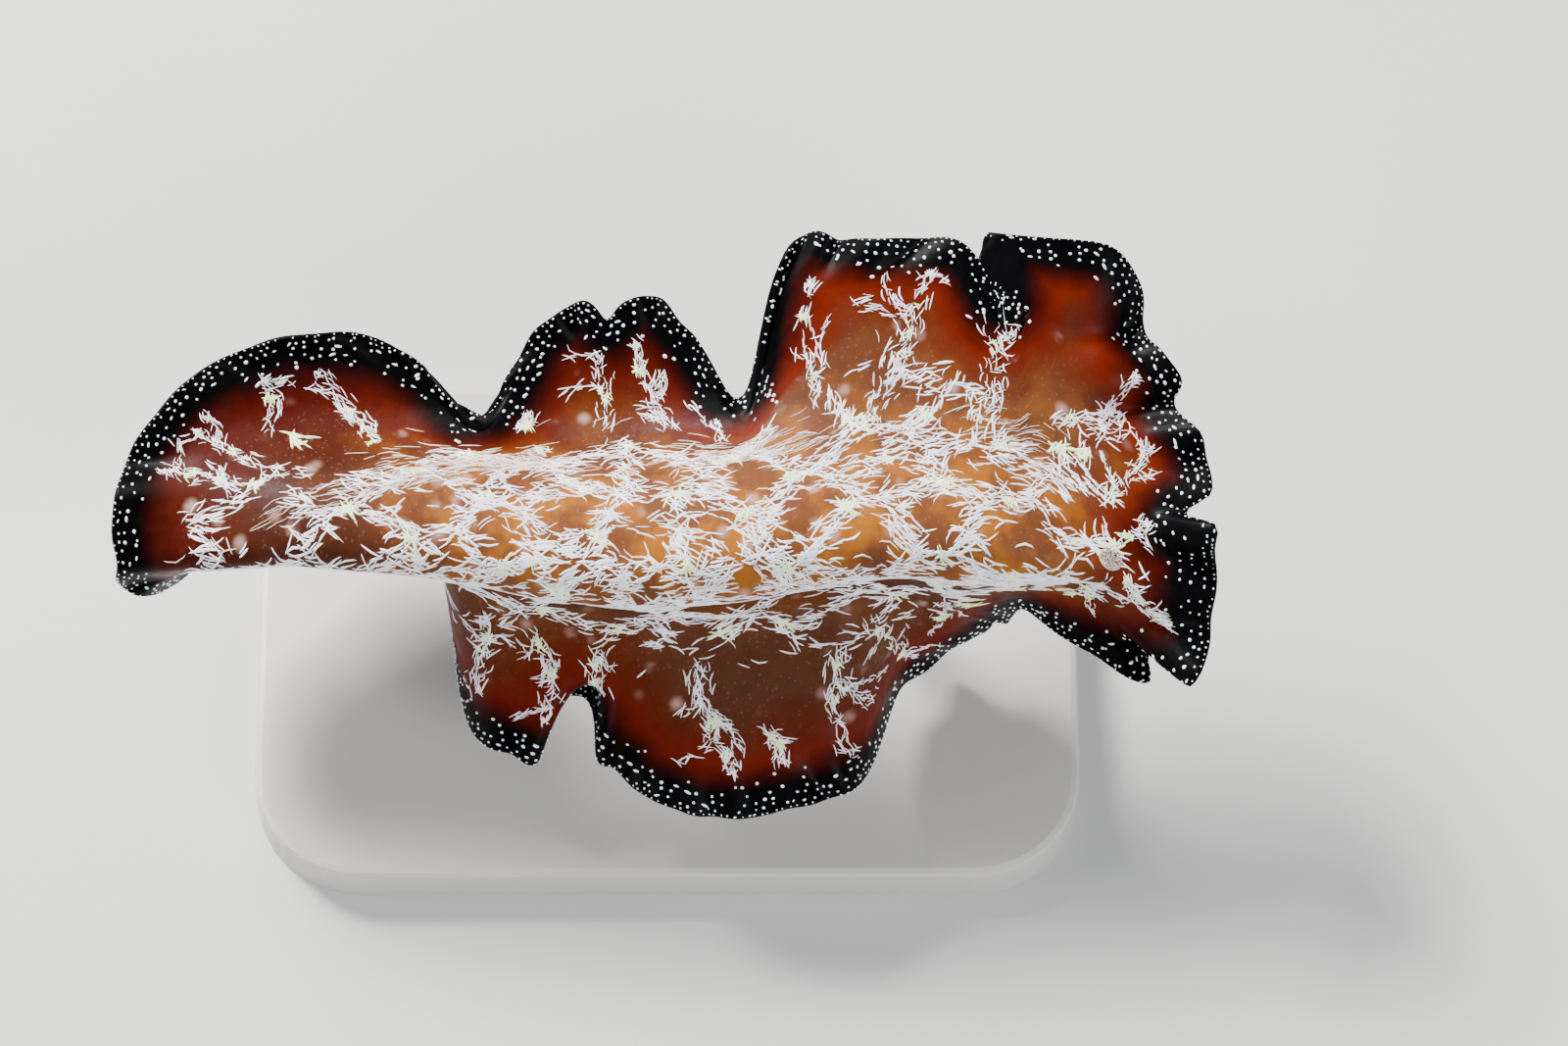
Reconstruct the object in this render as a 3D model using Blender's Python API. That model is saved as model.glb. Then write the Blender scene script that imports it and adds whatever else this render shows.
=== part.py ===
"""Still model of a swimming polyclad flatworm, life size, held up by a plain display stand.

The worm is one thin leaf of flesh. It is laid out flat first, in polar places on an oval: rho runs
from 0 at the middle to 1 at the margin, and theta from the head end towards the worm's left. Three
steps give the leaf its swimming shape: each cross-section is bent along its width, the margin is
gathered into ruffles at named folds, and a fine crinkle runs round the rim. The leaf is then cut
into named lengths with thin gaps, and every length is a closed slab of the flesh's own thickness.

Sizes of the body are in millimetres in a frame of its own: ahead runs towards the head, side across
the tilted back and rise straight off the back. The frame leans back by VIEW_TILT about the long
axis. The finished objects are in metres, with +Z up, +X towards the head, +Y towards the worm's
left, and the origin on the table under the middle of the model.
"""
import math
from dataclasses import dataclass

import bmesh
import bpy
import numpy as np
from mathutils import Matrix, Vector

MM = 0.001
COLLECTION = "polyclad_flatworm"

# Leaf: half length, half widths and squareness, in millimetres
HALF_LENGTH = 29.9
HALF_WIDTH_LEFT = (15.9, 13.9)
HALF_WIDTH_RIGHT = (20.8, 19.7)
SQUARENESS_LEFT = (4.2, 2.5)
SQUARENESS_RIGHT = (1.9, 2.2)

# Named swellings and shortenings of the flat leaf: centre and spread in degrees, gain
LOBES = {
    "left_rear_shoulder": (138.0, 6.0, -0.08),
    "left_middle_rear_flank": (115.0, 4.0, -0.03),
    "left_middle_crest": (98.0, 4.0, -0.03),
    "left_middle_round": (85.0, 4.5, -0.08),
    "left_front_rear_corner": (64.0, 4.0, 0.05),
    "left_front_crest": (34.5, 5.0, 0.13),
    "right_rear_notch": (-107.0, 2.4, -0.07),
    "right_front_short": (-27.0, 8.0, -0.17),
    "right_main_round": (-101.0, 8.0, -0.13),
    "right_small_lobe": (-121.0, 8.0, -0.08),
}

# Cross-sections along the body. Places and radii are in millimetres, angles in degrees.
SECTIONS = {
    "ahead": (-29.9, -25.2, -19.9, -14.6, -12.5, -11.2, -9.9, -6.1, -1.4, 3.9,
              9.2, 10.5, 12.5, 16.4, 19.8, 22.2, 24.1, 25.9, 27.8, 29.9),
    "side": (-1.2, -0.4, 0.3, 0.4, 0.4, 0.3, 0.3, -0.1, -0.2, 0.2,
             0.6, 0.7, 0.8, 0.5, -0.2, -1.0, -1.6, -2.2, -2.8, -3.3),
    "rise": (-1.6, -1.0, -0.3, 0.0, 0.1, 0.2, 0.2, 0.3, 0.4, 0.5,
             0.5, 0.5, 0.4, 0.4, 0.1, -0.1, -0.2, -0.4, -0.5, -0.5),
    "ridge_radius": (1.1, 1.3, 1.6, 2.1, 2.3, 2.5, 2.6, 3.0, 3.3, 3.3,
                     2.9, 2.8, 2.6, 2.2, 1.6, 1.1, 0.8, 1.2, 1.6, 1.6),
    "curtain": (3.2, 3.2, 3.2, 3.2, 3.2, 3.2, 3.2, 3.1, 2.9, 2.9,
                2.8, 2.8, 2.6, 3.2, 3.2, 3.2, 3.2, 2.1, 2.1, 2.1),
    "lean": (-5, -10, -15, -18, -19, -20, -20, -22, -22, -22,
             -20, -19, -18, -15, -12, -10, -8, -8, -5, 0),
    "left_dip": (5, 20, 30, 32, 30, 28, 25, 28, 22, 12,
                 5, 5, 5, 5, 5, 5, 5, 5, 0, 0),
    "left_flare": (20, 45, 60, 62, 60, 55, 50, 60, 50, 30,
                   20, 20, 20, 20, 20, 20, 20, 15, 8, 5),
    "right_drop": (60, 100, 125, 125, 125, 125, 125, 125, 125, 125,
                   125, 125, 120, 95, 93, 100, 95, 70, 45, 15),
    "right_flare": (-10, -15, -20, -20, 0, 70, 92, 96, 100, 102,
                    102, 98, 52, 8, 5, 60, 75, 40, 10, 0),
}
SECTION_SPACING = 0.1
SECTION_BLEND = 1.3
LEFT_DIP_SPAN = (0.5, 3.7)
LEFT_FLARE_SPAN = (4.8, 10.6)
BEND_SAMPLES = 28


@dataclass(frozen=True)
class Notch:
    """A notch in the left margin, in mm: its place and spreads along the body, and its depth.

    It is drawn into the flat leaf before that is bent, so it lies in the leaf's own surface.
    """

    ahead: float
    spread_behind: float
    spread_ahead: float
    depth: float
    roundness: float


NOTCHES = {
    "left_rear": Notch(-9.9, 2.2, 1.7, 6.6, 1.8),
    "left_middle_dip": Notch(-3.1, 0.55, 0.55, 1.4, 2.0),
    "left_middle": Notch(4.4, 1.9, 1.4, 7.0, 2.2),
    "left_front": Notch(19.1, 1.6, 1.0, 3.0, 2.0),
}


@dataclass(frozen=True)
class Fold:
    """A gather of the margin: its place and spread in degrees at the rim, and its shift in mm.

    A fold keeps its width in millimetres as it runs inwards, and fades out at starts_at.
    """

    centre: float
    spread_behind: float
    spread_ahead: float
    starts_at: float
    ahead: float
    side: float
    rise: float
    widen: float = 0.0
    roundness: float = 3.0


FOLDS = {
    "left_front_corner": Fold(36.5, 2.6, 2.6, 0.70, -1.5, 0.4, -0.8, 0.0, 2.0),
    "left_front_top": Fold(33.8, 1.6, 1.6, 0.84, -0.2, 0.7, -0.2, 0.0, 2.0),
    "left_shoulder_dip": Fold(27.5, 1.6, 1.6, 0.75, -0.6, -0.5, -1.3, 0.0, 2.5),
    "left_cheek_dip": Fold(18.5, 1.5, 1.5, 0.75, -1.1, 0.0, -1.6, 0.0, 2.5),
    "left_tentacle_gap": Fold(7.6, 1.2, 1.2, 0.86, -1.3, 0.0, -0.3),
    "left_tentacle": Fold(5.2, 1.3, 1.3, 0.88, 0.1, 0.4, 2.2, -0.3),
    "right_tentacle": Fold(-9.5, 1.8, 1.8, 0.84, -0.1, -0.5, 1.2),
    "right_tentacle_gap": Fold(-12.9, 1.3, 1.5, 0.84, -1.1, 1.8, -1.3),
    "right_front_fold": Fold(-32.0, 2.5, 2.5, 0.80, 0.0, -0.5, -1.3),
    "right_rear_roll": Fold(253.0, 2.8, 2.8, 0.60, 0.0, 2.8, -2.8, 0.8),
    "tail_tip": Fold(191.0, 8.0, 9.0, 0.80, 0.0, 0.8, 0.0, 0.0, 2.0),
}

# Crinkle of the rim: height in millimetres, whole waves round the margin, phase
CRINKLES = ((0.21, 41, 0.0), (0.24, 23, 1.1), (0.10, 64, 2.0))
CRINKLE_SWELLS = 6
CRINKLE_SWELL_SHARE = 0.3
CRINKLE_STARTS_AT = 0.86
CRINKLE_RISE_STARTS_AT = 0.84
CRINKLE_RISE_GAIN = 1.6
CRINKLE_RISE_LEAD = 0.2
CRINKLE_OUT_GAIN = 0.5

# Flesh thickness in millimetres
RIM_THICKNESS = 0.55
WING_THICKNESS = 0.72
WING_FROM_RIM = 4.0
RIDGE_THICKNESS = 1.25
RIDGE_WIDTH = 2.6
RIDGE_ENDS = (25.0, 17.0)
BACK_SHARE = 0.45
NORMAL_STEP = 0.02

# The lean of the body's frame, and where that frame's own origin stands, in millimetres
VIEW_TILT = math.radians(65.0)
BODY_PLACE = Vector((-0.04, -1.9, 20.2))

# Core disc and the gaps between lengths
CORE_RHO = 0.46
NOTCH_SPAN = (2.6, 15.9)
CORE_CUT = 0.30
CORE_STEPS_ACROSS = 14
HALF_GAP = 0.15

# Cerebral eye cluster, a low dome just over the head's back
EYE_AHEAD = 24.2
EYE_RADIUS = 0.53
EYE_HEIGHT = 0.13
EYE_CLEARANCE = 0.12

# Stand
BASE_LENGTH = 46.0
BASE_WIDTH = 30.0
BASE_HEIGHT = 3.0
BASE_CORNER = 6.0
BASE_EDGE = 0.4
ROD_RADIUS = 0.8
ROD_FOOT_RADIUS = 1.9
ROD_FOOT_HEIGHT = 0.9
ROD_PAD_RADIUS = 1.15
ROD_PAD_HEIGHT = 0.5
ROD_GAP = 0.25
ROD_PLACES = {"stand_rod_rear": (-3.4, 0.6), "stand_rod_front": (10.8, 2.4)}


@dataclass(frozen=True)
class Finish:
    """Plain colour and gloss of one material."""

    colour: tuple
    roughness: float
    metallic: float = 0.0


FINISHES = {
    "flesh_back": Finish((0.62, 0.30, 0.12), 0.42),
    "flesh_ruffle": Finish((0.38, 0.08, 0.02), 0.42),
    "flesh_margin": Finish((0.02, 0.02, 0.03), 0.38),
    "eye_spots": Finish((0.03, 0.02, 0.02), 0.3),
    "stand": Finish((0.72, 0.71, 0.68), 0.5),
    "stand_rod": Finish((0.6, 0.6, 0.6), 0.35, 1.0),
}


@dataclass(frozen=True)
class Length:
    """One length of the leaf's outer ring, between two rho and two theta (degrees)."""

    rho: tuple
    theta: tuple
    steps: tuple
    finish: str = "flesh_ruffle"


HEAD_RHO = 0.85
LENGTHS = {
    "left_front_ruffle": Length((CORE_RHO, 1.0), (16.0, 50.0), (8, 26)),
    "left_middle_ruffle": Length((CORE_RHO, 1.0), (50.0, 109.0), (8, 27)),
    "left_rear_ruffle": Length((CORE_RHO, 1.0), (109.0, 160.0), (8, 22)),
    "tail": Length((CORE_RHO, 1.0), (160.0, 203.0), (9, 12)),
    "right_rear_ruffle": Length((CORE_RHO, 1.0), (203.0, 229.0), (8, 11)),
    "right_small_ruffle": Length((CORE_RHO, 1.0), (229.0, 253.0), (8, 12)),
    "right_main_ruffle": Length((CORE_RHO, 1.0), (253.0, 301.0), (8, 18)),
    "right_front_ruffle": Length((CORE_RHO, 1.0), (301.0, 344.0), (9, 15)),
    "head": Length((CORE_RHO, HEAD_RHO), (-16.0, 16.0), (6, 10), "flesh_back"),
    "head_left_margin": Length((HEAD_RHO, 1.0), (8.3, 16.0), (3, 5)),
    "tentacle_left": Length((HEAD_RHO, 1.0), (2.0, 8.3), (6, 9), "flesh_margin"),
    "head_front_margin": Length((HEAD_RHO, 1.0), (-5.5, 2.0), (3, 5), "flesh_margin"),
    "tentacle_right": Length((HEAD_RHO, 1.0), (-13.2, -5.5), (6, 9), "flesh_margin"),
    "head_right_margin": Length((HEAD_RHO, 1.0), (-16.0, -13.2), (3, 3), "flesh_margin"),
}


def ease(value, low, high):
    """Smooth step from 0 at low to 1 at high."""
    share = np.clip((value - low) / (high - low), 0.0, 1.0)
    return share * share * (3.0 - 2.0 * share)


def degrees_from(theta, centre):
    """Signed turn in degrees from centre to theta."""
    return (np.degrees(theta) - centre + 180.0) % 360.0 - 180.0


def oval_radius(theta):
    """Distance in millimetres from the leaf's middle to the plain oval."""
    forward = np.cos(theta)
    leftward = np.sin(theta)
    front = 0.5 * (1.0 + np.tanh(1.6 * forward))
    left = 0.5 * (1.0 + np.tanh(3.0 * leftward))

    def mix(pair):
        return pair[0] * front + pair[1] * (1.0 - front)

    width = left * mix(HALF_WIDTH_LEFT) + (1.0 - left) * mix(HALF_WIDTH_RIGHT)
    power = left * mix(SQUARENESS_LEFT) + (1.0 - left) * mix(SQUARENESS_RIGHT)
    sum_of_powers = np.abs(forward / HALF_LENGTH) ** power + np.abs(leftward / width) ** power
    return sum_of_powers ** (-1.0 / power)


def leaf_radius(rho, theta):
    """Flat radius of the line of one rho: the plain oval in the core, with its lobes at the rim."""
    oval = oval_radius(theta)
    lobed = oval
    for centre, spread, gain in LOBES.values():
        turn = degrees_from(theta, centre) / spread
        lobed = lobed * (1.0 + gain * np.exp(-0.5 * turn * turn))
    return oval + (lobed - oval) * ease(rho, CORE_RHO, 1.0)


def blended_sections():
    """Each section value on an even grid along the body, with its corners rounded."""
    places = np.arange(-33.0, 33.0 + SECTION_SPACING, SECTION_SPACING)
    half = int(SECTION_BLEND / SECTION_SPACING)
    kernel = np.hanning(2 * half + 3)
    kernel /= kernel.sum()
    pad = len(kernel) // 2
    table = {}
    for name, values in SECTIONS.items():
        if name != "ahead":
            line = np.interp(places, SECTIONS["ahead"], values)
            table[name] = np.convolve(np.pad(line, pad, mode="edge"), kernel, mode="valid")
    return places, table


SECTION_PLACES, SECTION_TABLE = blended_sections()


def section(name, ahead):
    """Value of one section measure at a place along the body."""
    return np.interp(ahead, SECTION_PLACES, SECTION_TABLE[name])


def left_slope(ahead, out):
    """Slope in degrees of the left half, out millimetres along the flesh from the midline."""
    return (section("lean", ahead) - section("left_dip", ahead) * ease(out, *LEFT_DIP_SPAN)
            + section("left_flare", ahead) * ease(out, *LEFT_FLARE_SPAN))


def right_slope(ahead, out):
    """Slope in degrees of the right half, which drops like a curtain and may flare again."""
    ridge = section("ridge_radius", ahead)
    flare_start = 1.5 * ridge
    flare_end = flare_start + 2.2 * section("curtain", ahead)
    return (section("lean", ahead) + section("right_drop", ahead) * ease(out, 0.15 * ridge, 1.9 * ridge)
            - section("right_flare", ahead) * ease(out, flare_start, flare_end))


def bent_section(ahead, across):
    """Side and rise of a flat place after its cross-section is bent."""
    nodes, weights = np.polynomial.legendre.leggauss(BEND_SAMPLES)
    out = np.abs(across)
    along = out[..., None] * 0.5 * (nodes + 1.0)
    ahead_along = np.broadcast_to(ahead[..., None], along.shape)
    slope = np.where((across >= 0.0)[..., None], left_slope(ahead_along, along),
                     right_slope(ahead_along, along))
    slope = np.radians(slope)
    side = (np.cos(slope) * weights).sum(-1) * 0.5 * out
    rise = (np.sin(slope) * weights).sum(-1) * 0.5 * out
    hand = np.where(across >= 0.0, 1.0, -1.0)
    return hand * side, hand * rise


def crinkle(theta):
    """Height in millimetres of the fine wave round the rim."""
    height = 0.0
    for size, waves, phase in CRINKLES:
        height = height + size * np.sin(waves * theta + phase)
    return height * (1.0 - CRINKLE_SWELL_SHARE + CRINKLE_SWELL_SHARE * np.sin(CRINKLE_SWELLS * theta))


def leaf_point(rho, theta):
    """Place in millimetres, in the upright frame, of the middle of the flesh."""
    radius = leaf_radius(rho, theta)
    ahead = rho * radius * np.cos(theta)
    across = rho * radius * np.sin(theta)
    drawn_in = np.zeros(ahead.shape)
    for notch in NOTCHES.values():
        run = ahead - notch.ahead
        run = np.abs(run) / np.where(run < 0.0, notch.spread_behind, notch.spread_ahead)
        drawn_in += notch.depth * np.exp(-0.5 * run ** notch.roundness)
    side, rise = bent_section(ahead, across - drawn_in * ease(across, *NOTCH_SPAN))
    side = side + section("side", ahead)
    rise = rise + section("rise", ahead)
    hand = np.sign(np.sin(theta))
    for fold in FOLDS.values():
        turn = degrees_from(theta, fold.centre)
        turn = turn * np.maximum(rho, CORE_CUT) / np.where(turn > 0.0, fold.spread_behind, fold.spread_ahead)
        depth = np.exp(-0.5 * np.abs(turn) ** fold.roundness) * ease(rho, fold.starts_at, 1.0)
        ahead = ahead + (fold.ahead - fold.widen * turn * hand) * depth
        side = side + fold.side * depth
        rise = rise + fold.rise * depth
    wave = CRINKLE_OUT_GAIN * crinkle(theta) * ease(rho, CRINKLE_STARTS_AT, 1.0)
    lift = CRINKLE_RISE_GAIN * crinkle(theta + CRINKLE_RISE_LEAD) * ease(rho, CRINKLE_RISE_STARTS_AT, 1.0)
    ahead = ahead + wave * np.cos(theta)
    side = side + wave * np.sin(theta)
    rise = rise + lift
    up = side * math.cos(VIEW_TILT) + rise * math.sin(VIEW_TILT)
    left = side * math.sin(VIEW_TILT) - rise * math.cos(VIEW_TILT)
    return np.stack([ahead + BODY_PLACE.x, left + BODY_PLACE.y, up + BODY_PLACE.z], axis=-1)


def leaf_normal(rho, theta):
    """Unit direction off the worm's back, from small steps ahead and to the left."""
    flat_ahead = rho * np.cos(theta)
    flat_left = rho * np.sin(theta)

    def shifted(step_ahead, step_left):
        x = flat_ahead + step_ahead
        y = flat_left + step_left
        return leaf_point(np.hypot(x, y), np.arctan2(y, x))

    run_ahead = shifted(NORMAL_STEP, 0.0) - shifted(-NORMAL_STEP, 0.0)
    run_left = shifted(0.0, NORMAL_STEP) - shifted(0.0, -NORMAL_STEP)
    normal = np.cross(run_ahead, run_left)
    return normal / np.linalg.norm(normal, axis=-1, keepdims=True)


def flesh_thickness(rho, theta):
    """Thickness in millimetres, thin at the rim and thickest along the midline."""
    radius = leaf_radius(rho, theta)
    wing = ease((1.0 - rho) * radius, 0.0, WING_FROM_RIM)
    ahead = rho * radius * np.cos(theta)
    across = rho * radius * np.sin(theta)
    ridge = np.exp(-(across / RIDGE_WIDTH) ** 2) * (1.0 - ease(np.abs(ahead), RIDGE_ENDS[1], RIDGE_ENDS[0]))
    return RIM_THICKNESS + (WING_THICKNESS - RIM_THICKNESS) * wing + RIDGE_THICKNESS * ridge


def flesh_point(rho, theta, level):
    """Place in the flesh, with level 0 on the belly side and 1 on the back."""
    offset = flesh_thickness(rho, theta) * (level - 1.0 + BACK_SHARE)
    return leaf_point(rho, theta) + leaf_normal(rho, theta) * offset[..., None]


def ring_place(length):
    """Returns the function that takes a unit square to rho and theta inside one length."""
    def place(u, v):
        theta = np.radians(length.theta[0] + u * (length.theta[1] - length.theta[0]))
        radius = oval_radius(theta)
        inner = length.rho[0] + HALF_GAP / radius
        outer = length.rho[1] - (HALF_GAP / radius if length.rho[1] < 1.0 else 0.0)
        rho = inner + v * (outer - inner)
        return rho, theta + (1.0 - 2.0 * u) * HALF_GAP / (rho * radius)
    return place


def core_place(low, high):
    """Returns the function that takes a unit square to a band of the core disc."""
    def place(u, v):
        x = low + u * (high - low)
        y = 2.0 * v - 1.0
        right = x * np.sqrt(1.0 - 0.5 * y * y)
        up = y * np.sqrt(1.0 - 0.5 * x * x)
        theta = np.arctan2(up, right)
        edge = CORE_RHO - HALF_GAP / oval_radius(theta)
        return edge * np.hypot(right, up), theta
    return place


def link(name, bm, finish):
    """Makes one object of a bmesh, in metres, with its faces pointing out."""
    bmesh.ops.recalc_face_normals(bm, faces=bm.faces)
    if bm.calc_volume(signed=True) < 0.0:
        bmesh.ops.reverse_faces(bm, faces=bm.faces)
    mesh = bpy.data.meshes.new(name)
    bm.to_mesh(mesh)
    bm.free()
    mesh.materials.append(MATERIALS[finish])
    mesh.shade_smooth()
    mesh.set_sharp_from_angle(angle=math.radians(40.0))
    part = bpy.data.objects.new(name, mesh)
    PARTS.objects.link(part)
    return part


def flesh_slab(name, place, steps, finish):
    """A closed slab of flesh: a flat grid given a unit thickness, then laid in the leaf."""
    across_steps, around_steps = steps
    bm = bmesh.new()
    bmesh.ops.create_grid(bm, x_segments=around_steps, y_segments=across_steps, size=0.5)
    bmesh.ops.solidify(bm, geom=bm.faces[:], thickness=1.0)
    flat = np.array([vert.co for vert in bm.verts])
    level = (flat[:, 2] - flat[:, 2].min()) / (flat[:, 2].max() - flat[:, 2].min())
    rho, theta = place(np.clip(flat[:, 0] + 0.5, 0.0, 1.0), np.clip(flat[:, 1] + 0.5, 0.0, 1.0))
    for vert, spot in zip(bm.verts, flesh_point(rho, theta, level)):
        vert.co = Vector(spot) * MM
    return link(name, bm, finish)


def eye_cluster():
    """The low dome of tiny eyes over the head's back."""
    rho = np.array([EYE_AHEAD / HALF_LENGTH])
    theta = np.array([0.0])
    normal = Vector(leaf_normal(rho, theta)[0])
    skin = Vector(flesh_point(rho, theta, np.array([1.0]))[0])
    bm = bmesh.new()
    bmesh.ops.create_uvsphere(bm, u_segments=14, v_segments=8, radius=1.0)
    bmesh.ops.scale(bm, verts=bm.verts, vec=(EYE_RADIUS, EYE_RADIUS * 0.8, EYE_HEIGHT))
    turn = normal.to_track_quat("Z", "X").to_matrix().to_4x4()
    centre = skin + normal * (EYE_CLEARANCE + EYE_HEIGHT)
    bmesh.ops.transform(bm, matrix=Matrix.Scale(MM, 4) @ Matrix.Translation(centre) @ turn, verts=bm.verts)
    return link("eye_cluster", bm, "eye_spots")


def belly_height(x, y, radius):
    """Lowest belly height in millimetres over a disc at x, y."""
    rho, theta = np.meshgrid(np.linspace(0.0, CORE_RHO, 120), np.linspace(0.0, math.tau, 360))
    belly = flesh_point(rho.ravel(), theta.ravel(), np.zeros(rho.size))
    near = np.hypot(belly[:, 0] - x, belly[:, 1] - y) < radius
    return belly[near, 2].min()


def stand_base():
    """The flat plate: rounded corners and a softened top edge."""
    bm = bmesh.new()
    bmesh.ops.create_cube(bm, size=1.0)
    bmesh.ops.scale(bm, verts=bm.verts, vec=(BASE_LENGTH, BASE_WIDTH, BASE_HEIGHT))
    bmesh.ops.translate(bm, verts=bm.verts, vec=(0.0, 0.0, BASE_HEIGHT / 2))
    uprights = [edge for edge in bm.edges if abs(edge.verts[0].co.z - edge.verts[1].co.z) > 1.0]
    bmesh.ops.bevel(bm, geom=uprights, offset=BASE_CORNER, segments=8, profile=0.5,
                    affect="EDGES", material=-1)
    rim = [edge for edge in bm.edges
           if all(vert.co.z > BASE_HEIGHT - 0.01 for vert in edge.verts)]
    bmesh.ops.bevel(bm, geom=rim, offset=BASE_EDGE, segments=2, profile=0.5,
                    affect="EDGES", material=-1)
    bmesh.ops.scale(bm, verts=bm.verts, vec=(MM, MM, MM))
    return link("stand_base", bm, "stand")


def stand_rod(name, x, y):
    """One turned rod: a round foot on the plate, the rod and a small pad under the belly."""
    foot = BASE_HEIGHT + ROD_GAP
    top = belly_height(x, y, ROD_PAD_RADIUS + 0.2) - ROD_GAP
    pad = top - ROD_PAD_HEIGHT
    profile = ((0.0, foot), (ROD_FOOT_RADIUS, foot), (ROD_FOOT_RADIUS, foot + 0.5 * ROD_FOOT_HEIGHT),
               (ROD_RADIUS, foot + ROD_FOOT_HEIGHT), (ROD_RADIUS, pad - 0.4),
               (ROD_PAD_RADIUS, pad), (ROD_PAD_RADIUS, top), (0.0, top))
    bm = bmesh.new()
    verts = [bm.verts.new((radius, 0.0, height)) for radius, height in profile]
    edges = [bm.edges.new(pair) for pair in zip(verts, verts[1:])]
    bmesh.ops.spin(bm, geom=verts + edges, axis=(0.0, 0.0, 1.0), cent=(0.0, 0.0, 0.0),
                   angle=math.tau, steps=20, use_merge=True)
    bmesh.ops.remove_doubles(bm, verts=bm.verts, dist=0.001)
    bmesh.ops.translate(bm, verts=bm.verts, vec=(x, y, 0.0))
    bmesh.ops.scale(bm, verts=bm.verts, vec=(MM, MM, MM))
    return link(name, bm, "stand_rod")


def make_material(name, finish):
    """A Principled material in one finish."""
    material = bpy.data.materials.new(name)
    material.use_nodes = True
    shader = material.node_tree.nodes["Principled BSDF"]
    shader.inputs["Base Color"].default_value = (*finish.colour, 1.0)
    shader.inputs["Roughness"].default_value = finish.roughness
    shader.inputs["Metallic"].default_value = finish.metallic
    return material


for old in list(bpy.data.objects):
    bpy.data.objects.remove(old, do_unlink=True)

PARTS = bpy.data.collections.new(COLLECTION)
bpy.context.scene.collection.children.link(PARTS)
MATERIALS = {name: make_material(name, finish) for name, finish in FINISHES.items()}

CORE_HALF_GAP = HALF_GAP / (CORE_RHO * HALF_LENGTH)
CORE_BANDS = {
    "trunk_rear": (-1.0, -CORE_CUT - CORE_HALF_GAP, 9),
    "trunk_middle": (-CORE_CUT + CORE_HALF_GAP, CORE_CUT - CORE_HALF_GAP, 8),
    "trunk_front": (CORE_CUT + CORE_HALF_GAP, 1.0, 9),
}
for trunk_name, (trunk_low, trunk_high, trunk_steps) in CORE_BANDS.items():
    flesh_slab(trunk_name, core_place(trunk_low, trunk_high), (CORE_STEPS_ACROSS, trunk_steps), "flesh_back")
for length_name, leaf_length in LENGTHS.items():
    flesh_slab(length_name, ring_place(leaf_length), leaf_length.steps, leaf_length.finish)
eye_cluster()
stand_base()
for rod_name, (rod_x, rod_y) in ROD_PLACES.items():
    stand_rod(rod_name, rod_x, rod_y)
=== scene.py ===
"""Looks of a still, life-size model of a swimming polyclad flatworm on its display stand.

The worm is one thin leaf of flesh. The leaf is laid out flat first, in polar places: rho runs from 0 at
the middle to 1 at the margin, and theta from the head end towards the worm's left. LeafShape bends the
flat leaf into its swimming pose, as the solids do but with sharper notches, and every piece is laid on it:
one skin for all of the flesh, the white streaks in its back, the yellow-green stars among them, the
rows of white dots on its black margin, and the cluster of tiny eyes behind the front edge.

Lengths on the worm are in millimetres until a mesh is made. The finished meshes are in metres, in the
frame of the solids: +Z up, +X towards the head, +Y towards the worm's left.
"""
from __future__ import annotations

import logging
import math
from dataclasses import dataclass, field
from enum import Enum

import bmesh
import bpy
import numpy as np
from mathutils import Matrix, Vector

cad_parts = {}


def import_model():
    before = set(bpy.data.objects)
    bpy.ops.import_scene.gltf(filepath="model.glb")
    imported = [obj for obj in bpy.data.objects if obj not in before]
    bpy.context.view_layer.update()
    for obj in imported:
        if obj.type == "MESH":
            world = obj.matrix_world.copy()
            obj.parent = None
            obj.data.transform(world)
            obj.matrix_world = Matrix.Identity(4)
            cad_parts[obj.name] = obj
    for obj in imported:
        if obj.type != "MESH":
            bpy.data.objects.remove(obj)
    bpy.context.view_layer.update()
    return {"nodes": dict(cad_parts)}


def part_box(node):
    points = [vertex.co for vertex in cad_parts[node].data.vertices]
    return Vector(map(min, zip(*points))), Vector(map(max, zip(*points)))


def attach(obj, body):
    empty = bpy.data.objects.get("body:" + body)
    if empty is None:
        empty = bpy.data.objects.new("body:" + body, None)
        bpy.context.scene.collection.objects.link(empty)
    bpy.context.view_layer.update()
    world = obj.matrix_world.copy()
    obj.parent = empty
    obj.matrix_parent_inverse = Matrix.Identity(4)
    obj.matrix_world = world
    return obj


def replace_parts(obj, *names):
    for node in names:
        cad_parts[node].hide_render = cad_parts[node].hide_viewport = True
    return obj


LOG = logging.getLogger("flatworm")
MM = 0.001
BODY = "root"
VIEW_TILT = math.radians(65.0)
BODY_PLACE = np.array([-0.04, -1.9, 20.2])
HEAD_BAND_GAIN = 0.7
HEAD_BAND_SPREAD = 6.5


def ease(value: np.ndarray, low: float, high: float) -> np.ndarray:
    """Smooth step from 0 at low to 1 at high."""
    share = np.clip((value - low) / (high - low), 0.0, 1.0)
    return share * share * (3.0 - 2.0 * share)


def degrees_from(theta: np.ndarray, centre: float) -> np.ndarray:
    """Signed turn in degrees from centre to theta."""
    return (np.degrees(theta) - centre + 180.0) % 360.0 - 180.0


@dataclass(frozen=True)
class Lobe:
    """A swelling of the flat leaf: centre and spread in degrees, and the gain of its radius."""

    centre: float
    spread: float
    gain: float


@dataclass(frozen=True)
class Notch:
    """A notch in the left margin, in millimetres: its place and spreads along the body, and its depth.

    It is drawn into the flat leaf before that is bent, so it lies in the leaf's own surface.
    """

    ahead: float
    spread_behind: float
    spread_ahead: float
    depth: float
    roundness: float = 2.0


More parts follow.
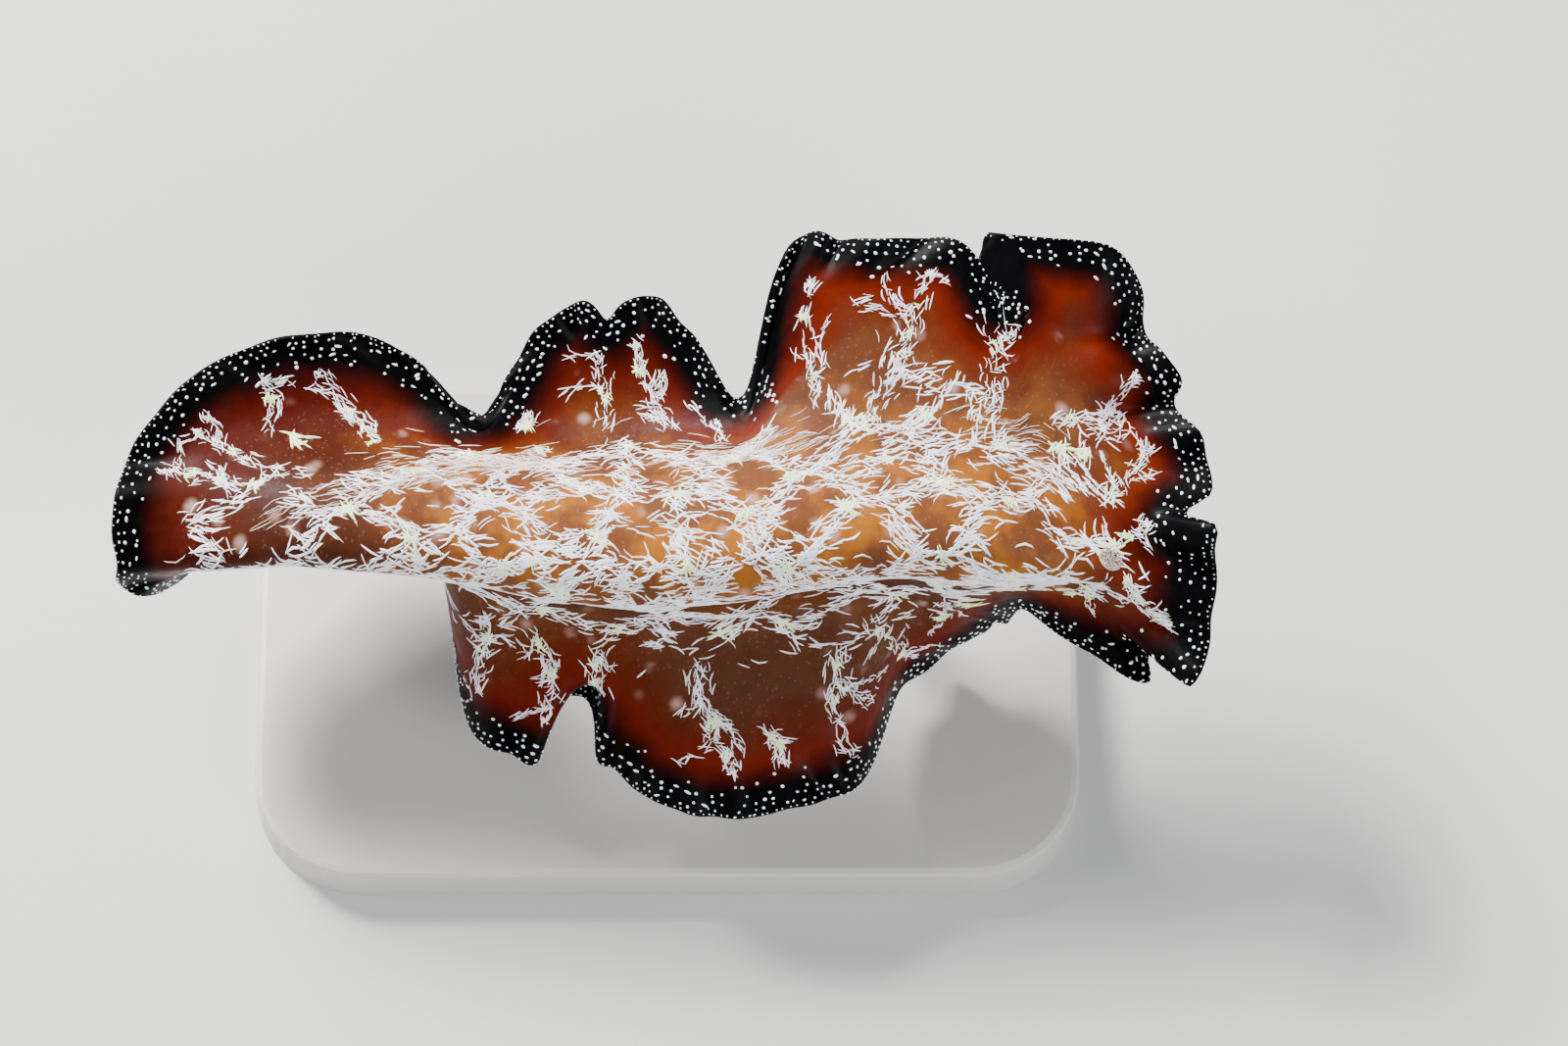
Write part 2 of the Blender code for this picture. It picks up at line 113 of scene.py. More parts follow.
@dataclass(frozen=True)
class Fold:
    """A gather of the margin: its place and spread in degrees at the rim, and its shift in millimetres.

    A fold keeps its width in millimetres as it runs inwards, and fades out at starts_at.
    """

    centre: float
    spread_behind: float
    spread_ahead: float
    starts_at: float
    ahead: float
    side: float
    rise: float
    widen: float = 0.0
    roundness: float = 3.0


LOBES = {
    "left_rear_shoulder": Lobe(138.0, 6.0, -0.08),
    "left_middle_rear_flank": Lobe(115.0, 4.0, -0.03),
    "left_middle_crest": Lobe(98.0, 4.0, -0.03),
    "left_middle_round": Lobe(85.0, 4.5, -0.08),
    "left_front_rear_corner": Lobe(64.0, 4.0, 0.05),
    "left_front_crest": Lobe(34.5, 5.0, 0.13),
    "right_rear_notch": Lobe(-107.0, 2.4, -0.07),
    "right_front_short": Lobe(-27.0, 8.0, -0.17),
    "right_main_round": Lobe(-101.0, 8.0, -0.13),
    "right_small_lobe": Lobe(-121.0, 8.0, -0.08),
}

NOTCHES = {
    "left_rear": Notch(-9.9, 2.2, 1.4, 7.0, 1.7),
    "left_middle_dip": Notch(-3.1, 0.42, 0.42, 1.1, 1.7),
    "left_middle": Notch(4.4, 1.9, 1.0, 7.4, 2.2),
    "left_front": Notch(19.1, 1.3, 0.55, 3.4, 2.0),
}

FOLDS = {
    "left_front_corner": Fold(37.8, 1.4, 1.6, 0.84, -3.6, 0.4, -1.0, 0.0, 2.0),
    "left_front_top": Fold(33.8, 1.6, 1.6, 0.84, -0.2, 0.7, -0.2, 0.0, 2.0),
    "left_shoulder_dip": Fold(27.5, 1.6, 1.6, 0.75, -0.6, -0.5, -1.3, 0.0, 2.5),
    "left_cheek_dip": Fold(18.5, 1.5, 1.5, 0.75, -1.1, 0.0, -1.6, 0.0, 2.5),
    "left_tentacle_gap": Fold(7.6, 1.2, 1.2, 0.86, -1.3, 0.0, -0.3),
    "left_tentacle": Fold(5.2, 1.3, 1.3, 0.88, 0.1, 0.4, 2.2, -0.3),
    "right_tentacle": Fold(-9.5, 1.8, 1.8, 0.84, -0.1, -0.5, 1.2),
    "right_tentacle_gap": Fold(-12.9, 1.3, 1.5, 0.84, -1.1, 1.8, -1.3),
    "right_front_fold": Fold(-32.0, 2.5, 2.5, 0.80, 0.0, -0.5, -1.3),
    "right_rear_roll": Fold(253.0, 2.8, 2.8, 0.60, 0.0, 2.8, -2.8, 0.8),
    "tail_tip": Fold(191.0, 8.0, 9.0, 0.80, 0.0, 0.8, 0.0, 0.0, 2.0),
}

# Cross-sections along the body. Places and radii are in millimetres, angles in degrees.
SECTIONS = {
    "ahead": (-29.9, -25.2, -19.9, -14.6, -12.5, -11.2, -9.9, -6.1, -1.4, 3.9,
              9.2, 10.5, 12.5, 16.4, 19.8, 22.2, 24.1, 25.9, 27.8, 29.9),
    "side": (-1.2, -0.4, 0.3, 0.4, 0.4, 0.3, 0.3, -0.1, -0.2, 0.2,
             0.6, 0.7, 0.8, 0.5, -0.2, -1.0, -1.6, -2.2, -2.8, -3.3),
    "rise": (-1.6, -1.0, -0.3, 0.0, 0.1, 0.2, 0.2, 0.3, 0.4, 0.5,
             0.5, 0.5, 0.4, 0.4, 0.1, -0.1, -0.2, -0.4, -0.5, -0.5),
    "ridge_radius": (1.1, 1.3, 1.6, 2.1, 2.3, 2.5, 2.6, 3.0, 3.3, 3.3,
                     2.9, 2.8, 2.6, 2.2, 1.6, 1.1, 0.8, 1.2, 1.6, 1.6),
    "curtain": (3.2, 3.2, 3.2, 3.2, 3.2, 3.2, 3.2, 3.1, 2.9, 2.9,
                2.8, 2.8, 2.6, 3.2, 3.2, 3.2, 3.2, 2.1, 2.1, 2.1),
    "lean": (-5, -10, -15, -18, -19, -20, -20, -22, -22, -22,
             -20, -19, -18, -15, -12, -10, -8, -8, -5, 0),
    "left_dip": (5, 20, 30, 32, 30, 28, 25, 28, 22, 12,
                 5, 5, 5, 5, 5, 5, 5, 5, 0, 0),
    "left_flare": (20, 45, 60, 62, 60, 55, 50, 60, 50, 30,
                   20, 20, 20, 20, 20, 20, 20, 15, 8, 5),
    "right_drop": (60, 100, 125, 125, 125, 125, 125, 125, 125, 125,
                   125, 125, 120, 95, 93, 100, 95, 70, 45, 15),
    "right_flare": (-10, -15, -20, -20, 0, 70, 92, 96, 100, 102,
                    102, 98, 52, 8, 5, 60, 75, 40, 10, 0),
}


@dataclass
class LeafShape:
    """The swimming leaf of flesh. Its main sizes are those of the solids, in millimetres and degrees."""

    table_reach: float = 33.0
    half_length: float = 29.9
    half_width_left: tuple = (15.9, 13.9)
    half_width_right: tuple = (20.8, 19.7)
    squareness_left: tuple = (4.2, 2.5)
    squareness_right: tuple = (1.9, 2.2)
    front_turn: float = 1.6
    left_turn: float = 3.0
    section_spacing: float = 0.1
    section_blend: float = 1.3
    left_dip_span: tuple = (0.5, 3.7)
    left_flare_span: tuple = (4.8, 10.6)
    right_drop_ridges: tuple = (0.15, 1.9)
    right_flare_ridges: float = 1.5
    right_flare_curtains: float = 2.2
    bend_samples: int = 28
    notch_span: tuple = (2.6, 15.9)
    core_rho: float = 0.46
    fold_core: float = 0.30
    crinkles: tuple = ((0.21, 41, 0.0), (0.24, 23, 1.1), (0.10, 64, 2.0))
    crinkle_swells: int = 6
    crinkle_swell_share: float = 0.3
    crinkle_starts_at: float = 0.86
    crinkle_rise_starts_at: float = 0.84
    crinkle_rise_gain: float = 1.6
    crinkle_rise_lead: float = 0.2
    crinkle_out_gain: float = 0.5
    rim_thickness: float = 0.55
    wing_thickness: float = 0.72
    wing_from_rim: float = 4.0
    ridge_thickness: float = 1.25
    ridge_width: float = 2.6
    ridge_ends: tuple = (25.0, 17.0)
    back_share: float = 0.45
    closing_rounds: int = 12
    normal_step: float = 0.02
    metric_step: float = 0.15
    least_area: float = 0.02
    longest_step: float = 3.0

    def __post_init__(self) -> None:
        """Lays each section value on an even grid along the body, with its corners rounded."""
        self.places = np.arange(-self.table_reach, self.table_reach + self.section_spacing,
                                self.section_spacing)
        half = int(self.section_blend / self.section_spacing)
        kernel = np.hanning(2 * half + 3)
        kernel /= kernel.sum()
        pad = len(kernel) // 2
        self.table = {}
        for name, values in SECTIONS.items():
            if name != "ahead":
                line = np.interp(self.places, SECTIONS["ahead"], values)
                self.table[name] = np.convolve(np.pad(line, pad, mode="edge"), kernel, mode="valid")

    def section(self, name: str, ahead: np.ndarray) -> np.ndarray:
        """Value of one section measure at a place along the body."""
        return np.interp(ahead, self.places, self.table[name])

    def oval_radius(self, theta: np.ndarray) -> np.ndarray:
        """Distance from the leaf's middle to the plain oval.

        Args:
            theta: Places round the leaf.

        Returns:
            The distances in millimetres.
        """
        forward = np.cos(theta)
        leftward = np.sin(theta)
        front = 0.5 * (1.0 + np.tanh(self.front_turn * forward))
        left = 0.5 * (1.0 + np.tanh(self.left_turn * leftward))

        def mix(pair: tuple[float, float]) -> np.ndarray:
            """Front value to rear value."""
            return pair[0] * front + pair[1] * (1.0 - front)

        width = left * mix(self.half_width_left) + (1.0 - left) * mix(self.half_width_right)
        power = left * mix(self.squareness_left) + (1.0 - left) * mix(self.squareness_right)
        powers = np.abs(forward / self.half_length) ** power + np.abs(leftward / width) ** power
        return powers ** (-1.0 / power)

    def leaf_radius(self, rho: np.ndarray, theta: np.ndarray) -> np.ndarray:
        """Flat radius of the line of one rho: the plain oval in the core, with its lobes at the rim.

        Args:
            rho: Places from the middle to the margin.
            theta: Places round the leaf.

        Returns:
            The radii in millimetres.
        """
        oval = self.oval_radius(theta)
        lobed = oval
        for lobe in LOBES.values():
            turn = degrees_from(theta, lobe.centre) / lobe.spread
            lobed = lobed * (1.0 + lobe.gain * np.exp(-0.5 * turn * turn))
        return oval + (lobed - oval) * ease(rho, self.core_rho, 1.0)

    def left_slope(self, ahead: np.ndarray, out: np.ndarray) -> np.ndarray:
        """Slope in degrees of the left half.

        Args:
            ahead: Places along the body.
            out: Distances from the midline, along the flesh.

        Returns:
            The slopes.
        """
        return (self.section("lean", ahead)
                - self.section("left_dip", ahead) * ease(out, *self.left_dip_span)
                + self.section("left_flare", ahead) * ease(out, *self.left_flare_span))

    def right_slope(self, ahead: np.ndarray, out: np.ndarray) -> np.ndarray:
        """Slope in degrees of the right half, which drops like a curtain and may flare again.

        Args:
            ahead: Places along the body.
            out: Distances from the midline, along the flesh.

        Returns:
            The slopes.
        """
        ridge = self.section("ridge_radius", ahead)
        drop_start, drop_end = (share * ridge for share in self.right_drop_ridges)
        flare_start = self.right_flare_ridges * ridge
        flare_end = flare_start + self.right_flare_curtains * self.section("curtain", ahead)
        return (self.section("lean", ahead)
                + self.section("right_drop", ahead) * ease(out, drop_start, drop_end)
                - self.section("right_flare", ahead) * ease(out, flare_start, flare_end))

    def bent_section(self, ahead: np.ndarray, across: np.ndarray) -> tuple[np.ndarray, np.ndarray]:
        """Side and rise of a flat place after its cross-section is bent.

        Args:
            ahead: Places along the body.
            across: Flat places to the left of the midline.

        Returns:
            The side and the rise.
        """
        nodes, weights = np.polynomial.legendre.leggauss(self.bend_samples)
        out = np.abs(across)
        along = out[..., None] * 0.5 * (nodes + 1.0)
        ahead_along = np.broadcast_to(ahead[..., None], along.shape)
        slope = np.empty(along.shape)
        left = across >= 0.0
        slope[left] = self.left_slope(ahead_along[left], along[left])
        slope[~left] = self.right_slope(ahead_along[~left], along[~left])
        slope = np.radians(slope)
        side = (np.cos(slope) * weights).sum(-1) * 0.5 * out
        rise = (np.sin(slope) * weights).sum(-1) * 0.5 * out
        hand = np.where(left, 1.0, -1.0)
        return hand * side, hand * rise

    def crinkle(self, theta: np.ndarray) -> np.ndarray:
        """Height of the fine wave round the rim.

        Args:
            theta: Places round the leaf.

        Returns:
            The heights in millimetres.
        """
        height = sum(size * np.sin(waves * theta + phase) for size, waves, phase in self.crinkles)
        swell = self.crinkle_swell_share * np.sin(self.crinkle_swells * theta)
        return height * (1.0 - self.crinkle_swell_share + swell)

    def middle(self, rho: np.ndarray, theta: np.ndarray) -> np.ndarray:
        """Place of the middle of the flesh.

        Args:
            rho: Places from the middle to the margin.
            theta: Places round the leaf.

        Returns:
            The places, as rows of three in millimetres.
        """
        radius = self.leaf_radius(rho, theta)
        ahead = rho * radius * np.cos(theta)
        across = rho * radius * np.sin(theta)
        drawn_in = np.zeros(ahead.shape)
        for notch in NOTCHES.values():
            run = ahead - notch.ahead
            run = np.abs(run) / np.where(run < 0.0, notch.spread_behind, notch.spread_ahead)
            drawn_in += notch.depth * np.exp(-0.5 * run ** notch.roundness)
        across = across - drawn_in * ease(across, *self.notch_span)
        moved = np.zeros((3,) + ahead.shape)
        for fold in FOLDS.values():
            turn = degrees_from(theta, fold.centre)
            spread = np.where(turn > 0.0, fold.spread_behind, fold.spread_ahead)
            turn = turn * np.maximum(rho, self.fold_core) / spread
            depth = np.exp(-0.5 * np.abs(turn) ** fold.roundness) * ease(rho, fold.starts_at, 1.0)
            moved[0] += (fold.ahead - fold.widen * turn * np.sign(np.sin(theta))) * depth
            moved[1] += fold.side * depth
            moved[2] += fold.rise * depth
        side, rise = self.bent_section(ahead, across)
        side = side + self.section("side", ahead) + moved[1]
        rise = rise + self.section("rise", ahead) + moved[2]
        ahead = ahead + moved[0]
        wave = self.crinkle_out_gain * self.crinkle(theta) * ease(rho, self.crinkle_starts_at, 1.0)
        lift = self.crinkle_rise_gain * self.crinkle(theta + self.crinkle_rise_lead)
        ahead = ahead + wave * np.cos(theta)
        side = side + wave * np.sin(theta)
        rise = rise + lift * ease(rho, self.crinkle_rise_starts_at, 1.0)
        up = side * math.cos(VIEW_TILT) + rise * math.sin(VIEW_TILT)
        left = side * math.sin(VIEW_TILT) - rise * math.cos(VIEW_TILT)
        return np.stack([ahead, left, up], axis=-1) + BODY_PLACE

    def normal(self, rho: np.ndarray, theta: np.ndarray) -> np.ndarray:
        """Unit direction off the worm's back, from small steps ahead and to the left.

        Args:
            rho: Places from the middle to the margin.
            theta: Places round the leaf.

        Returns:
            The directions, as rows.
        """
        flat_ahead = rho * np.cos(theta)
        flat_left = rho * np.sin(theta)

        def shifted(step_ahead: float, step_left: float) -> np.ndarray:
            """Place after a small step over the flat leaf."""
            x = flat_ahead + step_ahead
            y = flat_left + step_left
            return self.middle(np.hypot(x, y), np.arctan2(y, x))

        run_ahead = shifted(self.normal_step, 0.0) - shifted(-self.normal_step, 0.0)
        run_left = shifted(0.0, self.normal_step) - shifted(0.0, -self.normal_step)
        normal = np.cross(run_ahead, run_left)
        return normal / np.linalg.norm(normal, axis=-1, keepdims=True)

    def thickness(self, rho: np.ndarray, theta: np.ndarray, rim: float) -> np.ndarray:
        """Thickness of the flesh, thin at the rim and thickest along the midline.

        Args:
            rho: Places from the middle to the margin.
            theta: Places round the leaf.
            rim: Thickness at the very edge.

        Returns:
            The thicknesses.
        """
        radius = self.leaf_radius(rho, theta)
        wing = ease((1.0 - rho) * radius, 0.0, self.wing_from_rim)
        ahead = rho * radius * np.cos(theta)
        across = rho * radius * np.sin(theta)
        ridge = np.exp(-(across / self.ridge_width) ** 2)
        ridge = ridge * (1.0 - ease(np.abs(ahead), self.ridge_ends[1], self.ridge_ends[0]))
        return rim + (self.wing_thickness - rim) * wing + self.ridge_thickness * ridge

    def back(self, rho: np.ndarray, theta: np.ndarray, height: np.ndarray) -> np.ndarray:
        """Place at a height in millimetres off the worm's back, which may be below it."""
        offset = self.back_share * self.thickness(rho, theta, self.rim_thickness) + height
        return self.middle(rho, theta) + self.normal(rho, theta) * offset[..., None]

    def flat_place(self, rho: np.ndarray, theta: np.ndarray) -> tuple[np.ndarray, np.ndarray]:
        """Ahead and left on the flat leaf."""
        reach = rho * self.leaf_radius(rho, theta)
        return reach * np.cos(theta), reach * np.sin(theta)

    def polar_place(self, ahead: np.ndarray, left: np.ndarray) -> tuple[np.ndarray, np.ndarray]:
        """Rho and theta of a place on the flat leaf, found in a few closing steps.

        Args:
            ahead: Places on the flat leaf.
            left: Places on the flat leaf.

        Returns:
            Rho and theta.
        """
        theta = np.arctan2(left, ahead)
        reach = np.hypot(ahead, left)
        rho = reach / self.oval_radius(theta)
        for _ in range(self.closing_rounds):
            rho = 0.5 * (rho + reach / self.leaf_radius(rho, theta))
        return rho, theta

    def true_steps(self, ahead: np.ndarray, left: np.ndarray,
                   heading: np.ndarray) -> tuple[np.ndarray, np.ndarray]:
        """Flat steps that come out one millimetre long on the bent leaf, along a heading and across it.

        Args:
            ahead: Places on the flat leaf.
            left: Places on the flat leaf.
            heading: Headings on the flat leaf.

        Returns:
            The step along and the step across, each as rows of ahead and left.
        """
        step = self.metric_step

        def slope(step_ahead: float, step_left: float) -> np.ndarray:
            """How the bent place moves with one flat direction."""
            after = self.middle(*self.polar_place(ahead + step_ahead, left + step_left))
            before = self.middle(*self.polar_place(ahead - step_ahead, left - step_left))
            return (after - before) / (2.0 * step)

        run_ahead = slope(step, 0.0)
        run_left = slope(0.0, step)
        normal = np.cross(run_ahead, run_left)
        normal /= np.linalg.norm(normal, axis=-1, keepdims=True)
        forward = run_ahead * np.cos(heading)[:, None] + run_left * np.sin(heading)[:, None]
        forward /= np.linalg.norm(forward, axis=-1, keepdims=True)
        sideways = np.cross(normal, forward)
        aa = (run_ahead * run_ahead).sum(-1)
        ab = (run_ahead * run_left).sum(-1)
        bb = (run_left * run_left).sum(-1)
        area = np.maximum(aa * bb - ab * ab, self.least_area)
        steps = []
        for way in (forward, sideways):
            on_ahead = (way * run_ahead).sum(-1)
            on_left = (way * run_left).sum(-1)
            flat = np.stack([on_ahead * bb - on_left * ab, on_left * aa - on_ahead * ab], axis=-1)
            flat = flat / area[:, None]
            size = np.linalg.norm(flat, axis=-1, keepdims=True)
            steps.append(flat * np.minimum(1.0, self.longest_step / size))
        return steps[0], steps[1]


@dataclass
class MarginMap:
    """Distances in millimetres from the rim, measured straight to the bent rim nearby."""

    leaf: LeafShape
    columns: int = 1080
    rings: int = 161
    crowding: float = 1.3
    rim_window: int = 66

    def __post_init__(self) -> None:
        """Measures the leaf on a fine grid, once."""
        self.rho = 1.0 - (1.0 - np.linspace(0.0, 1.0, self.rings)) ** self.crowding
        self.theta = np.linspace(0.0, math.tau, self.columns, endpoint=False)
        rho, theta = np.meshgrid(self.rho, self.theta, indexing="ij")
        bent = self.leaf.middle(rho, theta)
        self.distance = np.full(rho.shape, np.inf)
        for shift in range(-self.rim_window, self.rim_window + 1):
            gap = np.linalg.norm(bent - np.roll(bent[-1], shift, axis=0), axis=-1)
            self.distance = np.minimum(self.distance, gap)

    def distance_at(self, rho: np.ndarray, theta: np.ndarray) -> np.ndarray:
        """Distance from the rim at any places, read between the grid's own.

        Args:
            rho: Places from the middle to the margin.
            theta: Places round the leaf.

        Returns:
            The distances.
        """
        row = np.interp(rho, self.rho, np.arange(self.rings))
        low_row = np.minimum(row.astype(int), self.rings - 2)
        column = (theta % math.tau) / math.tau * self.columns
        low_column = column.astype(int) % self.columns
        high_column = (low_column + 1) % self.columns
        up = row - low_row
        over = column - np.floor(column)
        low = self.distance[low_row, low_column] * (1 - over) + self.distance[low_row, high_column] * over
        high = (self.distance[low_row + 1, low_column] * (1 - over)
                + self.distance[low_row + 1, high_column] * over)
        return low * (1 - up) + high * up

    def rho_inside(self, theta: np.ndarray, distance: np.ndarray) -> np.ndarray:
        """Rho of places at one distance inside the rim.

        Args:
            theta: Places round the leaf.
            distance: How far inside the rim each place is.

        Returns:
            Rho of each place.
        """
        columns = np.round(theta / math.tau * self.columns).astype(int) % self.columns
        falling = np.minimum.accumulate(self.distance, axis=0)
        return np.array([np.interp(-gap, -falling[:, column], self.rho)
                         for gap, column in zip(distance, columns)])


def head_band(theta: np.ndarray) -> np.ndarray:
    """How many times wider the black margin is, as it swells in front of the head.

    Args:
        theta: Places round the leaf.

    Returns:
        The shares, 1 away from the head.
    """
    head = degrees_from(theta, 0.0) / HEAD_BAND_SPREAD
    return 1.0 + HEAD_BAND_GAIN * np.exp(-head * head)


def finish_object(name: str, mesh: bpy.types.Mesh) -> bpy.types.Object:
    """Links a mesh as one piece of the model and says what it rides on.

    Args:
        name: The piece's name.
        mesh: Its mesh, in metres in the shared frame.

    Returns:
        The new object.
    """
    piece = bpy.data.objects.new(name, mesh)
    bpy.context.scene.collection.objects.link(piece)
    mesh.shade_smooth()
    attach(piece, BODY)
    LOG.info("%s: %d points, %d faces", name, len(mesh.vertices), len(mesh.polygons))
    return piece


def mesh_from(name: str, bm: bmesh.types.BMesh) -> bpy.types.Mesh:
    """A mesh of a bmesh, which is freed.

    Args:
        name: The mesh's name.
        bm: The bmesh.

    Returns:
        The mesh.
    """
    mesh = bpy.data.meshes.new(name)
    bm.to_mesh(mesh)
    bm.free()
    return mesh


def points_of(mesh: bpy.types.Mesh) -> np.ndarray:
    """The points of a mesh as rows.

    Args:
        mesh: The mesh.

    Returns:
        One row for each point.
    """
    flat = np.empty(len(mesh.vertices) * 3, np.float32)
    mesh.vertices.foreach_get("co", flat)
    return flat.reshape(-1, 3).astype(float)


def set_points(mesh: bpy.types.Mesh, places: np.ndarray) -> None:
    """Moves the points of a mesh to places in millimetres."""
    mesh.vertices.foreach_set("co", (places * MM).astype(np.float32).ravel())
    mesh.update()


def point_value(mesh: bpy.types.Mesh, name: str, values: np.ndarray) -> None:
    """Stores a number, or a row of three, at each point of a mesh.

    Args:
        mesh: The mesh.
        name: The attribute's name.
        values: One number or row for each point.
    """
    kind = "FLOAT" if values.ndim == 1 else "FLOAT_VECTOR"
    key = "value" if values.ndim == 1 else "vector"
    attribute = mesh.attributes.new(name, kind, "POINT")
    attribute.data.foreach_set(key, values.astype(np.float32).ravel())


class NodeBoard:
    """Short calls for laying out one material's nodes."""

    # The colour mixer's sockets, by their places among those that mix numbers and vectors.
    mix_inputs = (0, 6, 7)
    mix_output = 2

    def __init__(self, name: str) -> None:
        """Starts a material with its own shader."""
        self.material = bpy.data.materials.new(name)
        self.material.use_nodes = True
        self.tree = self.material.node_tree
        self.shader = self.tree.nodes["Principled BSDF"]

    def put(self, socket: bpy.types.NodeSocket, value: object) -> None:
        """Links a socket, or sets its value.

        Args:
            socket: The socket.
            value: An output to link, or a value.
        """
        if isinstance(value, bpy.types.NodeSocket):
            self.tree.links.new(value, socket)
        else:
            socket.default_value = value

    def surface(self, **values: object) -> None:
        """Sets or links the shader's sockets, named in small letters with underscores.

        Args:
            values: The sockets' values, or outputs to link.
        """
        for name, value in values.items():
            title = name.replace("_", " ").title().replace("Ior", "IOR")
            self.put(self.shader.inputs[title], value)

    def attribute(self, name: str, output: str = "Fac") -> bpy.types.NodeSocket:
        """A value stored on the mesh.

        Args:
            name: The attribute's name.
            output: Which of its outputs.

        Returns:
            The output.
        """
        node = self.tree.nodes.new("ShaderNodeAttribute")
        node.attribute_name = name
        return node.outputs[output]

    def object_place(self) -> bpy.types.NodeSocket:
        """The place on the object, in metres."""
        return self.tree.nodes.new("ShaderNodeTexCoord").outputs["Object"]

    def math(self, operation: str, first: object, second: object = 0.0, third: object = 0.0,
             clamp: bool = False) -> bpy.types.NodeSocket:
        """One sum on two or three values.

        Args:
            operation: The kind of sum.
            first: The first value.
            second: The second value.
            third: The third value, where the sum has one.
            clamp: Whether the result stays from 0 to 1.

        Returns:
            The result.
        """
        node = self.tree.nodes.new("ShaderNodeMath")
        node.operation = operation
        node.use_clamp = clamp
        for socket, value in zip(node.inputs, (first, second, third)):
            self.put(socket, value)
        return node.outputs[0]

    def spread(self, value: object, low: float, high: float, start: float = 0.0,
               end: float = 1.0) -> bpy.types.NodeSocket:
        """Smoothly takes low to start and high to end.

        Args:
            value: The value to read.
            low: Where the step starts.
            high: Where the step ends.
            start: The result at low.
            end: The result at high.

        Returns:
            The result.
        """
        node = self.tree.nodes.new("ShaderNodeMapRange")
        node.interpolation_type = "SMOOTHSTEP"
        for title, number in zip(("Value", "From Min", "From Max", "To Min", "To Max"),
                                 (value, low, high, start, end)):
            self.put(node.inputs[title], number)
        return node.outputs[0]

    def mix(self, share: object, first: object, second: object, blend: str = "MIX") -> bpy.types.NodeSocket:
        """Mixes two colours.

        Args:
            share: The second colour's share.
            first: The first colour.
            second: The second colour.
            blend: How they are mixed.

        Returns:
            The colour.
        """
        node = self.tree.nodes.new("ShaderNodeMix")
        node.data_type = "RGBA"
        node.blend_type = blend
        for index, value in zip(self.mix_inputs, (share, first, second)):
            self.put(node.inputs[index], value)
        return node.outputs[self.mix_output]

    def ramp(self, value: object, stops: tuple[tuple[float, tuple], ...]) -> bpy.types.NodeSocket:
        """A run of colours over a value from 0 to 1.

        Args:
            value: The value to read.
            stops: Each stop's place and colour, the run's two ends first.

        Returns:
            The colour.
        """
        node = self.tree.nodes.new("ShaderNodeValToRGB")
        elements = node.color_ramp.elements
        ready = len(elements)
        for index, (place, colour) in enumerate(stops):
            element = elements[index] if index < ready else elements.new(place)
            element.position = place
            element.color = colour
        self.put(node.inputs[0], value)
        return node.outputs[0]

    def noise(self, place: object, scale: float, detail: float = 2.0, roughness: float = 0.5,
              warp: float = 0.0) -> bpy.types.NodeSocket:
        """Cloudy values about 0.5.

        Args:
            place: Where the noise is read.
            scale: How fine it is.
            detail: How many finer layers it has.
            roughness: How strong those are.
            warp: How far it is bent.

        Returns:
            The values.
        """
        node = self.tree.nodes.new("ShaderNodeTexNoise")
        self.put(node.inputs["Vector"], place)
        node.inputs["Scale"].default_value = scale
        node.inputs["Detail"].default_value = detail
        node.inputs["Roughness"].default_value = roughness
        node.inputs["Distortion"].default_value = warp
        return node.outputs["Fac"]

    def cells(self, place: object, scale: float) -> bpy.types.Node:
        """Scattered cells: how far each point is from its cell's middle, and the cell's own colour.

        Args:
            place: Where the cells are read.
            scale: How small they are.

        Returns:
            The node.
        """
        node = self.tree.nodes.new("ShaderNodeTexVoronoi")
        self.put(node.inputs["Vector"], place)
        node.inputs["Scale"].default_value = scale
        return node

    def bump(self, height: object, distance: float, strength: float = 1.0,
             below: bpy.types.NodeSocket | None = None) -> bpy.types.NodeSocket:
        """Small relief, in metres.

        Args:
            height: The relief's shape, from 0 to 1.
            distance: Its depth in metres.
            strength: Its strength.
            below: A relief that this one lies on.

        Returns:
            The bent normal.
        """
        node = self.tree.nodes.new("ShaderNodeBump")
        node.inputs["Strength"].default_value = strength
        node.inputs["Distance"].default_value = distance
        self.put(node.inputs["Height"], height)
        if below is not None:
            self.put(node.inputs["Normal"], below)
        return node.outputs[0]


